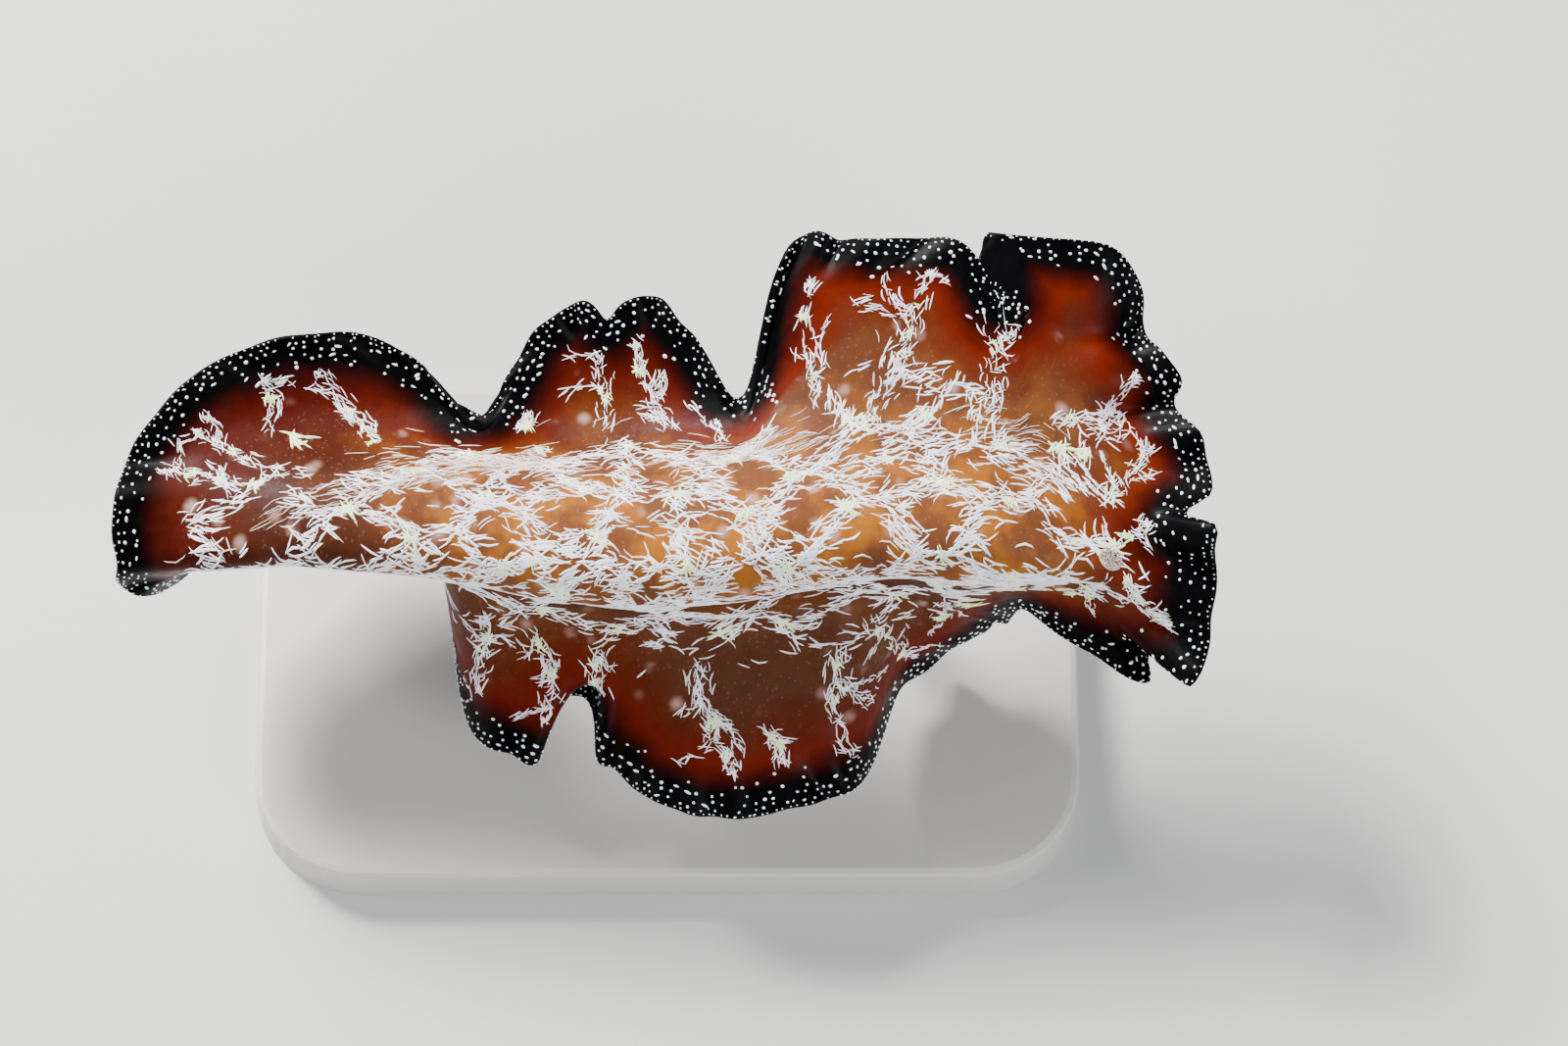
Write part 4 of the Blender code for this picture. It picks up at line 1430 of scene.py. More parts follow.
@dataclass
class StreakPattern:
    """The white streaks in the back: a net over the middle, combed lines, and rays to the margin.

    Places, lengths and spans are in millimetres on the flat leaf. A chance or a share runs from 0 to 1.
    """

    leaf: LeafShape
    margin: MarginMap
    seed: int = 21
    tries: int = 61000
    net_reach: tuple = (-13.5, 12.5)
    net_length: float = 27.0
    island: float = 3.1
    small_island: float = 1.35
    island_stretch: float = 1.35
    island_shake: float = 0.45
    islands_left: tuple = (-19.0, 16.0)
    islands_ahead: tuple = (-30.0, 30.0)
    border_width: float = 0.36
    small_border_width: float = 0.16
    border_chance: float = 0.36
    small_border_chance: float = 0.78
    stray_chance: float = 0.006
    clear_span: tuple = (0.45, 0.80)
    clear_loss: float = 0.93
    middle_left: float = -0.5
    middle_width: float = 4.2
    middle_shares: tuple = (0.35, 0.65)
    net_inside: tuple = (3.4, 5.4)
    cloud_shares: tuple = (0.15, 0.55)
    net_scatter: float = 0.16
    net_lean: float = 0.26
    net_follow: float = 0.45
    ridge_lines: int = 1000
    ridge_reach: tuple = (-20.0, 21.0)
    ridge_left: float = -2.3
    ridge_fall: float = 3.4
    ridge_shake: float = 0.2
    ridge_waves: tuple = ((2.3, 3.0), (1.1, -4.0))
    ridge_gap: float = -0.5
    ridge_heading: tuple = (0.05, 0.12)
    ridge_depth: tuple = (0.12, 0.4)
    ridge_size: float = 0.85
    crease_sink: float = 1.1
    crease_follow: float = 0.6
    crease_lean: float = 0.10
    crease_curl: float = 0.14
    crease_depth: tuple = (0.50, 1.0)
    crease_length: tuple = (0.8, 1.7)
    crease_width: tuple = (0.035, 0.065)
    ray_step: float = 0.22
    ray_clear: float = 2.0
    ray_stretch: float = 1.15
    ray_least_steps: int = 3
    ray_forks: int = 3
    ray_stars: tuple = (1, 4)
    ray_star_reach: tuple = (0.15, 0.90)
    ray_star_turn: float = 0.5
    tip_star_size: tuple = (0.40, 0.65)
    ray_star_size: tuple = (0.55, 0.95)
    first_turn: float = 0.3
    turn_memory: float = 0.84
    turn_spread: float = 0.20
    turn_back: float = -0.6
    swell_waves: float = 1.5
    swell_shares: tuple = (0.40, 0.60)
    branch_streaks: float = 2.9
    branch_scatter: float = 0.25
    branch_lean: float = 0.42
    branch_size: tuple = (0.50, 0.90)
    fork_turn: tuple = (0.5, 1.0)
    fork_reach: tuple = (0.22, 0.45)
    fork_width: float = 0.55
    fork_thick: float = 0.75
    star_arms: tuple = (6, 12)
    star_shares: tuple = (0.42, 0.58)
    star_sharpness: int = 3
    star_turn: float = 0.12
    star_shake: tuple = (0.20, 0.12)
    star_curl: float = 0.15
    star_depth: float = 0.1
    star_follow: float = 0.35
    star_length: tuple = (0.80, 1.60)
    star_width: tuple = (0.11, 0.17)
    star_tries: int = 6000
    stars_ahead: tuple = (-22.0, 24.5)
    stars_left: tuple = (-10.0, 6.2)
    star_border: float = 0.25
    star_clear: float = 2.9
    star_spacing: float = 3.2
    star_size: tuple = (0.7, 1.5)
    streak_length: tuple = (0.70, 1.35)
    streak_width: tuple = (0.066, 0.130)
    streak_curl: float = 0.22
    streak_depth: float = 0.18
    streak_height: float = 0.055
    star_height: float = 0.065

    def __post_init__(self) -> None:
        """Scatters the islands that the net runs round, and starts the lists of marks."""
        self.comb = Comb()
        self.cover = NetCover()
        self.random = np.random.default_rng(self.seed)
        self.streaks = Flecks()
        self.stars = Flecks()
        self.islands = self.scattered_islands(self.island)
        self.small_islands = self.scattered_islands(self.small_island)

    def scattered_islands(self, size: float) -> np.ndarray:
        """Middles of the islands, on a shaken grid that is stretched along the body.

        Args:
            size: How far apart they are, across the body.

        Returns:
            The middles, as rows of ahead and left.
        """
        rows = []
        across = np.arange(*self.islands_left, size)
        along = np.arange(*self.islands_ahead, size * self.island_stretch)
        for index, left in enumerate(across):
            for ahead in along + (index % 2) * 0.5 * size * self.island_stretch:
                shake = self.random.uniform(-self.island_shake, self.island_shake, 2) * size
                rows.append((ahead + shake[0] * self.island_stretch, left + shake[1]))
        return np.array(rows)

    def border(self, ahead: np.ndarray, left: np.ndarray,
               islands: np.ndarray) -> tuple[np.ndarray, np.ndarray]:
        """How far places are from the line between two islands, and that line's heading.

        Args:
            ahead: Places on the flat leaf.
            left: Places on the flat leaf.
            islands: The islands' middles.

        Returns:
            The distances and the headings.
        """
        gap_ahead = (ahead[:, None] - islands[None, :, 0]) / self.island_stretch
        gap_left = left[:, None] - islands[None, :, 1]
        gaps = np.hypot(gap_ahead, gap_left)
        order = np.argpartition(gaps, 1, axis=1)[:, :2]
        index = np.arange(len(ahead))
        swap = gaps[index, order[:, 0]] > gaps[index, order[:, 1]]
        order[swap] = order[swap][:, ::-1]
        near = islands[order[:, 0]]
        far = islands[order[:, 1]]
        distance = 0.5 * (gaps[index, order[:, 1]] - gaps[index, order[:, 0]])
        run = far - near
        heading = np.arctan2(run[:, 0] / self.island_stretch ** 2, -run[:, 1])
        return distance, heading

    def build_net(self) -> None:
        """Streaks over the middle of the back, thick on the borders between islands."""
        ahead = self.random.uniform(-self.net_length, self.net_length, self.tries)
        left = self.random.uniform(*self.net_reach, self.tries)
        distance, heading = self.border(ahead, left, self.islands)
        small_distance, small_heading = self.border(ahead, left, self.small_islands)
        border = np.exp(-(distance / self.border_width) ** 2)
        small_border = np.exp(-(small_distance / self.small_border_width) ** 2)
        middle = np.exp(-((left - self.middle_left) / self.middle_width) ** 2)
        cloud_least, cloud_gain = self.cloud_shares
        middle_least, middle_gain = self.middle_shares
        small_share = ((cloud_least + cloud_gain * self.cover.cloud(ahead, left))
                       * (middle_least + middle_gain * middle)
                       * (1.0 - self.clear_loss * ease(distance, *self.clear_span)))
        chance = np.maximum(self.border_chance * border,
                            self.small_border_chance * small_share * small_border)
        chance = (chance + self.stray_chance * middle) * self.cover.share(ahead, left)
        rho, theta = self.leaf.polar_place(ahead, left)
        inside = self.margin.distance_at(rho, theta)
        chance = chance * ease(inside, *self.net_inside) * np.where(rho < 1.0, 1.0, 0.0)
        keep = self.random.uniform(0.0, 1.0, self.tries) < chance
        lie = self.random.normal(0.0, 1.0, self.tries)
        lean = self.random.normal(0.0, self.net_lean, self.tries)
        flow = self.comb.heading(ahead, left)
        for index in np.flatnonzero(keep):
            line = heading[index] if border[index] > small_border[index] else small_heading[index]
            combed = flow[index] + self.net_scatter * lie[index]
            across = (line - combed + math.pi / 2) % math.pi - math.pi / 2
            self.streak(ahead[index], left[index], combed + self.net_follow * across + lean[index])

    def streak(self, ahead: float, left: float, heading: float, deep: float | None = None,
               size: float = 1.0) -> None:
        """Adds one streak of an ordinary size.

        Args:
            ahead: Its place on the flat leaf.
            left: Its place on the flat leaf.
            heading: Its heading there.
            deep: How deep it lies, where that isn't left to chance.
            size: Its scale.
        """
        length = self.random.uniform(*self.streak_length) * size
        width = self.random.uniform(*self.streak_width) * size
        curl = self.random.normal(0.0, self.streak_curl)
        if deep is None:
            deep = abs(self.random.normal(0.0, self.streak_depth))
        self.streaks.add(ahead, left, heading, length, width, curl, min(deep, 1.0))

    def build_ridge_lines(self) -> None:
        """Fine streaks combed along the body, low on the ridge's steep right side, with gaps in them."""
        for _ in range(self.ridge_lines):
            ahead = self.random.uniform(*self.ridge_reach)
            fall = self.random.uniform(0.0, 1.0)
            left = self.ridge_left - self.ridge_fall * fall + self.random.normal(0.0, self.ridge_shake)
            gap = sum(math.sin(waves * ahead + lean * fall) for waves, lean in self.ridge_waves)
            if gap >= self.ridge_gap:
                least, gain = self.ridge_depth
                self.streak(ahead, left, self.random.normal(*self.ridge_heading), least + gain * fall,
                            self.ridge_size)

    def build_creases(self) -> None:
        """Fine creamy lines combed past the notches, where the back is drawn together."""
        for crease in CREASES.values():
            for _ in range(crease.lines):
                run = self.random.normal(0.0, crease.spread)
                ahead = crease.ahead + run
                left = crease.left + crease.slope * run + abs(self.random.normal(0.0, self.crease_sink))
                flow = self.comb.heading(np.array([ahead]), np.array([left]))[0]
                heading = self.crease_follow * flow + crease.slope
                self.streaks.add(ahead, left, heading + self.random.normal(0.0, self.crease_lean),
                                 self.random.uniform(*self.crease_length),
                                 self.random.uniform(*self.crease_width),
                                 self.random.normal(0.0, self.crease_curl),
                                 self.random.uniform(*self.crease_depth))

    def build_rays(self) -> None:
        """Branches of streaks that wander out to the margin and carry a few bright blobs."""
        for ray in RAYS.values():
            start = np.array(ray.start)
            run = np.array(ray.end) - start
            heading = math.atan2(run[1], run[0])
            reach = self.ray_stretch * float(np.linalg.norm(run))
            path = self.branch(start, heading, reach, ray.width, ray.thick, self.ray_forks)
            self.star(path[-1], heading, self.random.uniform(*self.tip_star_size), True)
            if ray.star:
                stars = int(self.random.integers(*self.ray_stars))
                for share in self.random.uniform(*self.ray_star_reach, stars):
                    place = path[int(share * (len(path) - 1))]
                    self.star(place, heading + self.random.normal(0.0, self.ray_star_turn),
                              self.random.uniform(*self.ray_star_size))

    def branch(self, start: np.ndarray, heading: float, reach: float, width: float, thick: float,
               forks: int) -> list[np.ndarray]:
        """One wandering line of crossed streaks, with thinner ones forking off it.

        Args:
            start: Where it leaves the net, on the flat leaf.
            heading: Its way as a whole.
            reach: Its length.
            width: How wide it is, as a share.
            thick: How many streaks it holds, as a share.
            forks: How many thinner lines leave it.

        Returns:
            The places along it.
        """
        count = max(int(reach / self.ray_step), self.ray_least_steps)
        leaving = set(self.random.integers(1, count, forks).tolist())
        least, gain = self.swell_shares
        turn = self.random.normal(0.0, self.first_turn)
        phase = self.random.uniform(0.0, math.tau)
        path = [start]
        for index in range(count):
            turn = self.turn_memory * turn + self.random.normal(0.0, self.turn_spread)
            here = heading + turn
            step = path[-1] + self.ray_step * np.array([math.cos(here), math.sin(here)])
            rho, theta = self.leaf.polar_place(step[:1], step[1:])
            if self.margin.distance_at(rho, theta)[0] < self.ray_clear:
                turn = self.turn_back * turn
                continue
            path.append(step)
            swell = least + gain * abs(math.sin(index * self.ray_step * self.swell_waves + phase))
            for _ in range(int(self.random.poisson(self.branch_streaks * thick * swell))):
                off = self.random.normal(0.0, self.branch_scatter * width * swell)
                place = path[-1] + off * np.array([-math.sin(here), math.cos(here)])
                self.streak(place[0], place[1], here + self.random.normal(0.0, self.branch_lean), None,
                            self.random.uniform(*self.branch_size))
            if index in leaving:
                side = self.random.choice((-1.0, 1.0)) * self.random.uniform(*self.fork_turn)
                self.branch(path[-1], heading + side, reach * self.random.uniform(*self.fork_reach),
                            self.fork_width * width, self.fork_thick * thick, 0)
        return path

    def star(self, place: np.ndarray, heading: float, size: float, white: bool = False) -> None:
        """A star of short streaks that cross in the middle, longest along its heading.

        Args:
            place: Its middle on the flat leaf.
            heading: Its long way.
            size: Its scale.
            white: Whether it is white and not yellow-green.
        """
        store = self.streaks if white else self.stars
        arms = int(self.random.integers(*self.star_arms))
        least, gain = self.star_shares
        for arm in range(arms):
            turn = math.pi * arm / arms + self.random.normal(0.0, self.star_turn)
            stretch = least + gain * abs(math.cos(turn)) ** self.star_sharpness
            length = self.random.uniform(*self.star_length) * size * stretch
            ahead, left = (middle + self.random.normal(0.0, shake) * size
                           for middle, shake in zip(place, self.star_shake))
            store.add(ahead, left, heading + turn, length, self.random.uniform(*self.star_width) * size,
                      self.random.normal(0.0, self.star_curl),
                      abs(self.random.normal(0.0, self.star_depth)))

    def build_stars(self) -> None:
        """Yellow-green stars where the borders of islands meet."""
        ahead = self.random.uniform(*self.stars_ahead, self.star_tries)
        left = self.random.uniform(*self.stars_left, self.star_tries)
        distance, heading = self.border(ahead, left, self.islands)
        clear = self.margin.distance_at(*self.leaf.polar_place(ahead, left)) > self.star_clear
        chosen = []
        for index in np.flatnonzero((distance < self.star_border) & clear):
            here = np.array([ahead[index], left[index]])
            if all(np.hypot(*(here - other)) > self.star_spacing for other in chosen):
                chosen.append(here)
                self.star(here, self.star_follow * heading[index], self.random.uniform(*self.star_size))

    def build(self, layer: FleckLayer) -> None:
        """Makes the streak and star pieces.

        Args:
            layer: What lays them on the back.
        """
        self.build_net()
        self.build_creases()
        self.build_ridge_lines()
        self.build_rays()
        self.build_stars()
        white = FleckFinish("streak_white", (0.93, 0.92, 1.0, 1.0), (0.60, 0.42, 0.30, 1.0), 0.45)
        green = FleckFinish("star_yellow_green", (0.80, 0.97, 0.52, 1.0), (0.62, 0.62, 0.24, 1.0), 0.45)
        layer.lay("white_streaks", self.streaks, FleckShape.STREAK, self.streak_height, "flesh_back",
                  white.material())
        layer.lay("yellow_green_stars", self.stars, FleckShape.STREAK, self.star_height, "flesh_back",
                  green.material())


@dataclass(frozen=True)
class DotRow:
    """One row of dots along the margin: how far inside the rim, its spacing and its dots' size."""

    inside: float
    spacing: float
    size: float
    wander: float
    gaps: float


@dataclass
class MarginDots:
    """The rows of white dots on the black margin, with a few longer grains among them."""

    leaf: LeafShape
    margin: MarginMap
    seed: int = 8
    rows: tuple = (DotRow(0.12, 0.40, 0.090, 0.02, 0.10), DotRow(0.40, 0.56, 0.135, 0.05, 0.12),
            DotRow(0.78, 0.60, 0.165, 0.06, 0.14), DotRow(1.18, 0.68, 0.165, 0.07, 0.22),
            DotRow(1.56, 1.05, 0.160, 0.10, 0.40), DotRow(1.95, 2.40, 0.190, 0.15, 0.50))
    least_inside: float = 0.10
    shake: float = 0.26
    size_range: tuple = (0.72, 1.22)
    dot_length: tuple = (0.95, 1.3)
    grain_share: float = 0.16
    grain_length: tuple = (1.5, 2.5)
    grain_width: float = 0.8
    turn_spread: float = 0.3
    turn_step: float = 0.01
    height: float = 0.06

    def __post_init__(self) -> None:
        """Starts the random draws."""
        self.random = np.random.default_rng(self.seed)

    def build(self, layer: FleckLayer) -> None:
        """Makes the dots.

        Args:
            layer: What lays them on the back.
        """
        marks = Flecks()
        for row in self.rows:
            self.add_row(row, marks)
        finish = FleckFinish("dot_white", (0.92, 0.97, 1.0, 1.0), (0.50, 0.62, 0.72, 1.0), 0.38)
        layer.lay("margin_dots", marks, FleckShape.DOT, self.height, "flesh_margin", finish.material())

    def add_row(self, row: DotRow, marks: Flecks) -> None:
        """Adds one row's dots to the marks.

        Args:
            row: The row.
            marks: The marks so far.
        """
        theta = self.evenly_round(row)
        theta = theta[self.random.uniform(0.0, 1.0, len(theta)) > row.gaps]
        inside = row.inside + self.random.normal(0.0, row.wander, len(theta))
        inside = np.maximum(inside, self.least_inside) * head_band(theta)
        rho = self.margin.rho_inside(theta, inside)
        ahead, left = self.leaf.flat_place(rho, theta)
        after_ahead, after_left = self.leaf.flat_place(rho, theta + self.turn_step)
        heading = np.arctan2(after_left - left, after_ahead - ahead)
        for index in range(len(theta)):
            grain = self.random.uniform() < self.grain_share
            size = row.size * self.random.uniform(*self.size_range)
            length = size * self.random.uniform(*(self.grain_length if grain else self.dot_length))
            turn = heading[index] + self.random.normal(0.0, self.turn_spread)
            marks.add(ahead[index], left[index], turn, length, size * (self.grain_width if grain else 1.0))

    def evenly_round(self, row: DotRow) -> np.ndarray:
        """Theta of places that are evenly spaced along one row, with a little shake.

        Args:
            row: The row.

        Returns:
            Theta of each place.
        """
        round_once = np.append(self.margin.theta, math.tau)
        rho = self.margin.rho_inside(round_once, np.full(len(round_once), row.inside))
        steps = np.linalg.norm(np.diff(self.leaf.middle(rho, round_once), axis=0), axis=-1)
        along = np.concatenate([[0.0], np.cumsum(steps)])
        count = int(along[-1] / row.spacing)
        places = (np.arange(count) + self.random.uniform(-self.shake, self.shake, count)) * row.spacing
        return np.interp(places, along, round_once)


@dataclass
class EyeCluster:
    """The cerebral eyes: a low pale dome over the brain, with dozens of tiny dark eyes in it."""

    leaf: LeafShape
    ahead: float = 24.2
    left: float = 0.0
    radius: float = 0.56
    narrow: float = 0.8
    dome_margin: float = 1.15
    dome_height: float = 0.13
    dome_parts: tuple = (40, 20)
    eyes: int = 62
    eye_radius: float = 0.042
    eye_sizes: tuple = (0.7, 1.25)
    eye_sunk: float = 0.2
    eye_shake: float = 0.15
    eye_parts: tuple = (10, 6)
    seed: int = 5

    def __post_init__(self) -> None:
        """Starts the random draws."""
        self.random = np.random.default_rng(self.seed)

    def build(self) -> None:
        """Makes the dome and the eyes."""
        self.dome()
        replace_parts(self.beads(), "eye_cluster")

    def dome(self) -> None:
        """Makes the low pale dome, laid on the head's back."""
        bm = bmesh.new()
        around, rings = self.dome_parts
        bmesh.ops.create_uvsphere(bm, u_segments=around, v_segments=rings, radius=1.0)
        mesh = mesh_from("eye_dome", bm)
        ball = points_of(mesh)
        ahead = self.ahead + ball[:, 0] * self.radius * self.dome_margin
        left = self.left + ball[:, 1] * self.radius * self.narrow * self.dome_margin
        rho, theta = self.leaf.polar_place(ahead, left)
        set_points(mesh, self.leaf.back(rho, theta, ball[:, 2] * self.dome_height - Skin.sunk))
        mesh.materials.append(self.dome_grey())
        finish_object("eye_dome", mesh)

    def beads(self) -> bpy.types.Object:
        """The tiny dark eyes, scattered evenly in the oval.

        Returns:
            The eyes, as one piece.
        """
        bm = bmesh.new()
        around, rings = self.eye_parts
        golden = math.pi * (3.0 - math.sqrt(5.0))
        for index in range(self.eyes):
            reach = math.sqrt((index + 0.5) / self.eyes)
            turn = index * golden + self.random.normal(0.0, self.eye_shake)
            spot_ahead = self.ahead + self.radius * reach * math.cos(turn)
            spot_left = self.left + self.radius * self.narrow * reach * math.sin(turn)
            size = self.eye_radius * self.random.uniform(*self.eye_sizes)
            rho, theta = self.leaf.polar_place(np.array([spot_ahead]), np.array([spot_left]))
            dome = self.dome_height * math.sqrt(max(0.0, 1.0 - (reach / self.dome_margin) ** 2))
            height = dome - Skin.sunk - self.eye_sunk * size
            place = self.leaf.back(rho, theta, np.array([height]))[0]
            bmesh.ops.create_uvsphere(bm, u_segments=around, v_segments=rings, radius=size * MM,
                                      matrix=Matrix.Translation(Vector(place) * MM))
        mesh = mesh_from("eye_beads", bm)
        mesh.materials.append(self.eye_black())
        return finish_object("eye_beads", mesh)

    def dome_grey(self) -> bpy.types.Material:
        """Cloudy grey-brown flesh that lets a little light in.

        Returns:
            The material.
        """
        board = NodeBoard("eye_dome_grey")
        cloud = board.noise(board.object_place(), 2600.0, 3.0, 0.6)
        board.surface(base_color=board.mix(board.spread(cloud, 0.35, 0.65), (0.30, 0.22, 0.17, 1.0),
                                           (0.52, 0.44, 0.38, 1.0)),
                      roughness=0.3, subsurface_weight=0.2, subsurface_scale=0.0004,
                      normal=board.bump(cloud, 0.00001, 0.5))
        return board.material

    def eye_black(self) -> bpy.types.Material:
        """Wet black-brown.

        Returns:
            The material.
        """
        board = NodeBoard("eye_black_brown")
        cloud = board.noise(board.object_place(), 5000.0, 2.0, 0.5)
        board.surface(base_color=board.mix(cloud, (0.006, 0.004, 0.004, 1.0), (0.030, 0.018, 0.014, 1.0)),
                      roughness=0.22, coat_weight=0.5, coat_roughness=0.08,
                      normal=board.bump(cloud, 0.000005, 0.4))
        return board.material


@dataclass
class Stand:
    """The plain display stand: the solids' own plate and rods, with washers and soft tips."""

    nodes: dict[str, bpy.types.Object]
    washer_radius: float = 2.15
    washer_sides: int = 48
    washer_round: float = 0.07
    washer_crease: float = math.radians(40.0)
    tip_radius: float = 1.12
    tip_height: float = 0.42
    tip_lift: float = 0.05
    tip_parts: tuple = (40, 20)
    brush_scale: tuple = (200.0, 200.0, 14000.0)

    def build(self) -> None:
        """Dresses the plate and the rods, and adds the washers and tips."""
        self.dress("stand_base", self.painted_plate())
        steel = self.brushed_steel()
        rubber = self.soft_rubber()
        _, plate_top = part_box("stand_base")
        for rod in ("stand_rod_rear", "stand_rod_front"):
            self.dress(rod, steel)
            low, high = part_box(rod)
            middle = (low + high) / 2 / MM
            self.washer(rod, middle, plate_top.z / MM, low.z / MM, rubber)
            self.tip(rod, middle, high.z / MM, rubber)

    def dress(self, node: str, material: bpy.types.Material) -> None:
        """Gives a carried-over solid its finish.

        Args:
            node: The solid's node.
            material: The finish.
        """
        for slot in self.nodes[node].material_slots:
            slot.material = material
        LOG.info("%s: dressed", node)

    def washer(self, rod: str, middle: Vector, low: float, high: float,
               material: bpy.types.Material) -> None:
        """A thin washer between the plate and a rod's foot.

        Args:
            rod: The rod's node.
            middle: The rod's middle, in millimetres.
            low: The plate's top.
            high: The rod's foot.
            material: The washer's finish.
        """
        bm = bmesh.new()
        bmesh.ops.create_cone(bm, cap_ends=True, segments=self.washer_sides, radius1=self.washer_radius,
                              radius2=self.washer_radius, depth=high - low)
        half = (high - low) / 2
        rims = [edge for edge in bm.edges if abs(edge.verts[0].co.z + edge.verts[1].co.z) > half]
        bmesh.ops.bevel(bm, geom=rims, offset=self.washer_round, segments=3, profile=0.5, affect="EDGES",
                        material=-1)
        bmesh.ops.translate(bm, verts=bm.verts, vec=(middle.x, middle.y, (low + high) / 2))
        bmesh.ops.scale(bm, verts=bm.verts, vec=(MM, MM, MM))
        mesh = mesh_from(rod.replace("rod", "washer"), bm)
        mesh.materials.append(material)
        piece = finish_object(mesh.name, mesh)
        piece.data.set_sharp_from_angle(angle=self.washer_crease)

    def tip(self, rod: str, middle: Vector, top: float, material: bpy.types.Material) -> None:
        """A soft tip between a rod and the belly.

        Args:
            rod: The rod's node.
            middle: The rod's middle, in millimetres.
            top: The rod's top.
            material: The tip's finish.
        """
        bm = bmesh.new()
        around, rings = self.tip_parts
        bmesh.ops.create_uvsphere(bm, u_segments=around, v_segments=rings, radius=1.0)
        bmesh.ops.scale(bm, verts=bm.verts, vec=(self.tip_radius, self.tip_radius, self.tip_height))
        bmesh.ops.translate(bm, verts=bm.verts, vec=(middle.x, middle.y, top + self.tip_lift))
        bmesh.ops.scale(bm, verts=bm.verts, vec=(MM, MM, MM))
        mesh = mesh_from(rod.replace("rod", "tip"), bm)
        mesh.materials.append(material)
        finish_object(mesh.name, mesh)

    def painted_plate(self) -> bpy.types.Material:
        """Satin pale grey with a fine cast grain.

        Returns:
            The material.
        """
        board = NodeBoard("satin_pale_grey")
        place = board.object_place()
        cloud = board.noise(place, 90.0, 4.0, 0.6)
        grain = board.noise(place, 5200.0, 3.0, 0.7)
        board.surface(base_color=board.mix(cloud, (0.42, 0.41, 0.39, 1.0), (0.48, 0.47, 0.45, 1.0)),
                      roughness=board.spread(board.noise(place, 1500.0, 3.0, 0.6), 0.3, 0.7, 0.42, 0.56),
                      normal=board.bump(grain, 0.00002, 0.35))
        return board.material

    def brushed_steel(self) -> bpy.types.Material:
        """Steel brushed round the rods.

        Returns:
            The material.
        """
        board = NodeBoard("brushed_steel")
        mapping = board.tree.nodes.new("ShaderNodeMapping")
        mapping.inputs["Scale"].default_value = self.brush_scale
        board.put(mapping.inputs["Vector"], board.object_place())
        lines = board.noise(mapping.outputs[0], 1.0, 3.0, 0.6)
        board.surface(base_color=board.mix(lines, (0.48, 0.48, 0.49, 1.0), (0.66, 0.66, 0.66, 1.0)),
                      metallic=1.0, roughness=board.spread(lines, 0.25, 0.75, 0.24, 0.38),
                      normal=board.bump(lines, 0.00001, 0.3))
        return board.material

    def soft_rubber(self) -> bpy.types.Material:
        """Dull grey silicone rubber.

        Returns:
            The material.
        """
        board = NodeBoard("soft_grey_rubber")
        cloud = board.noise(board.object_place(), 1800.0, 3.0, 0.6)
        board.surface(base_color=board.mix(cloud, (0.20, 0.20, 0.20, 1.0), (0.27, 0.27, 0.27, 1.0)),
                      roughness=0.55, normal=board.bump(cloud, 0.00002, 0.4))
        return board.material


@dataclass(frozen=True)
class Lamp:
    """A square soft light: its place and size in metres, its power in watts and its colour."""

    place: tuple
    size: float
    power: float
    colour: tuple


LAMPS = {
    "key": Lamp((-0.30, 0.34, 0.42), 0.22, 17.5, (1.0, 0.985, 0.96)),
    "fill": Lamp((0.30, -0.42, 0.34), 0.34, 4.4, (0.97, 0.98, 1.0)),
    "side": Lamp((-0.52, -0.05, 0.26), 0.30, 1.8, (1.0, 1.0, 1.0)),
}


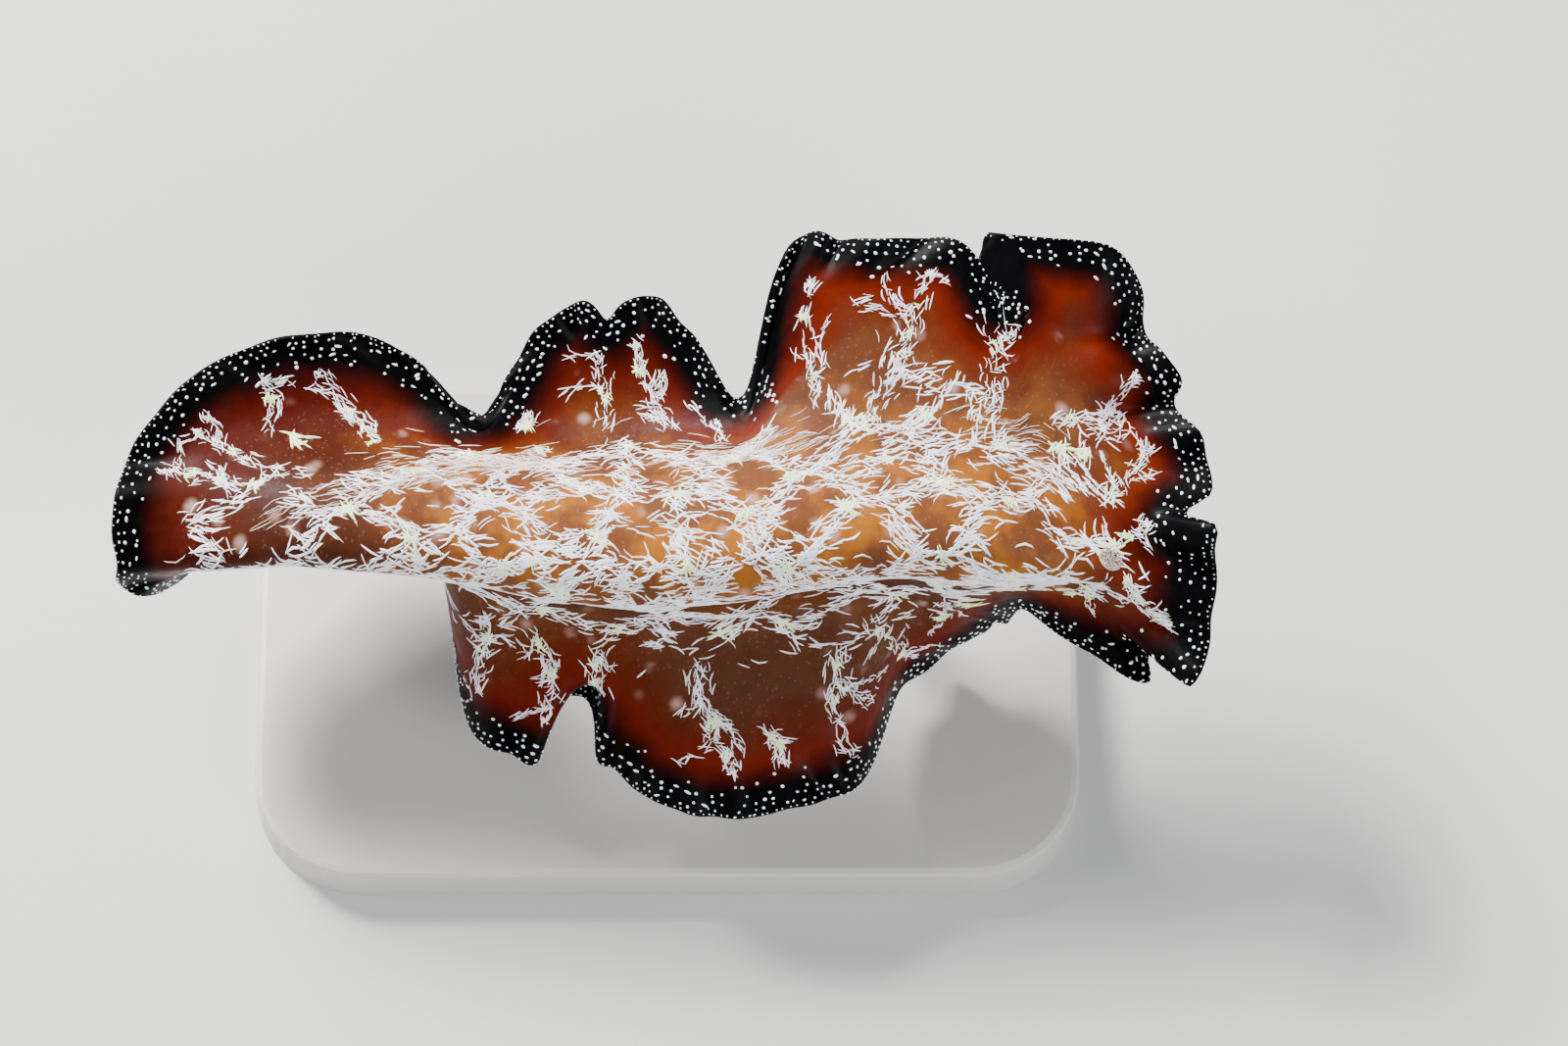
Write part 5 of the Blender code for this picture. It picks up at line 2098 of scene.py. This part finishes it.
@dataclass
class Studio:
    """Pale floor, soft lights and the camera, at the photograph's viewing angle and framing."""

    surround: tuple = (0.90, 0.93, 1.0, 1.0)
    surround_strength: float = 0.28
    floor_half: float = 1.5
    floor_colours: tuple = ((0.47, 0.47, 0.46, 1.0), (0.52, 0.52, 0.51, 1.0))
    photo_size: tuple = (1600, 1067)
    pixel: float = 0.053
    body_column: float = 676.0
    body_row: float = 540.0
    view_angle: float = math.radians(12.0)
    sensor: float = 36.0

    def __post_init__(self) -> None:
        """Works out the camera's distance and target from the photograph's scale."""
        width, height = self.photo_size
        self.frame_width = width * self.pixel
        self.distance = 0.5 * self.frame_width / math.tan(0.5 * self.view_angle)
        right = (0.5 * width - self.body_column) * self.pixel
        up = (self.body_row - 0.5 * height) * self.pixel
        self.toward = np.array([0.0, -math.cos(VIEW_TILT), math.sin(VIEW_TILT)])
        self.upward = np.array([0.0, math.sin(VIEW_TILT), math.cos(VIEW_TILT)])
        self.target = BODY_PLACE + right * np.array([1.0, 0.0, 0.0]) + up * self.upward

    def build(self) -> None:
        """Makes the floor, the lights, the world and the camera."""
        self.floor()
        for name, lamp in LAMPS.items():
            self.light(name, lamp)
        self.world()
        self.camera()

    def floor(self) -> None:
        """A plain pale floor."""
        bm = bmesh.new()
        bmesh.ops.create_grid(bm, x_segments=8, y_segments=8, size=self.floor_half)
        floor = bpy.data.objects.new("floor", mesh_from("floor", bm))
        bpy.context.scene.collection.objects.link(floor)
        board = NodeBoard("pale_floor")
        cloud = board.noise(board.object_place(), 30.0, 3.0, 0.5)
        board.surface(base_color=board.mix(cloud, *self.floor_colours), roughness=0.8)
        floor.data.materials.append(board.material)

    def light(self, name: str, lamp: Lamp) -> None:
        """Sets up one light, facing the model.

        Args:
            name: The light's name.
            lamp: Its place, size, power and colour.
        """
        light = bpy.data.lights.new(name, "AREA")
        light.size = lamp.size
        light.energy = lamp.power
        light.color = lamp.colour
        holder = bpy.data.objects.new(name, light)
        holder.location = lamp.place
        aim = Vector(BODY_PLACE * MM) - Vector(lamp.place)
        holder.rotation_euler = aim.to_track_quat("-Z", "Y").to_euler()
        bpy.context.scene.collection.objects.link(holder)

    def world(self) -> None:
        """An even pale surround."""
        world = bpy.data.worlds.new("studio")
        world.use_nodes = True
        background = world.node_tree.nodes["Background"]
        background.inputs["Color"].default_value = self.surround
        background.inputs["Strength"].default_value = self.surround_strength
        bpy.context.scene.world = world

    def camera(self) -> None:
        """The camera, far off with a long lens."""
        lens = bpy.data.cameras.new("camera")
        lens.sensor_width = self.sensor
        lens.lens = 0.5 * self.sensor / math.tan(0.5 * self.view_angle)
        holder = bpy.data.objects.new("camera", lens)
        holder.location = (self.target + self.toward * self.distance) * MM
        holder.rotation_euler = (math.pi / 2 - VIEW_TILT, 0.0, 0.0)
        bpy.context.scene.collection.objects.link(holder)
        bpy.context.scene.camera = holder


def main() -> None:
    """Builds the model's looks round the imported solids, piece by piece."""
    logging.basicConfig(level=logging.INFO, format="%(message)s")
    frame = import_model()
    flesh = [name for name in frame["nodes"] if not name.startswith("stand_") and name != "eye_cluster"]
    leaf = LeafShape()
    margin = MarginMap(leaf)
    Studio().build()
    Skin(leaf, margin).build(flesh)
    layer = FleckLayer(leaf)
    StreakPattern(leaf, margin).build(layer)
    MarginDots(leaf, margin).build(layer)
    EyeCluster(leaf).build()
    Stand(frame["nodes"]).build()


if __name__ == "__main__":
    main()
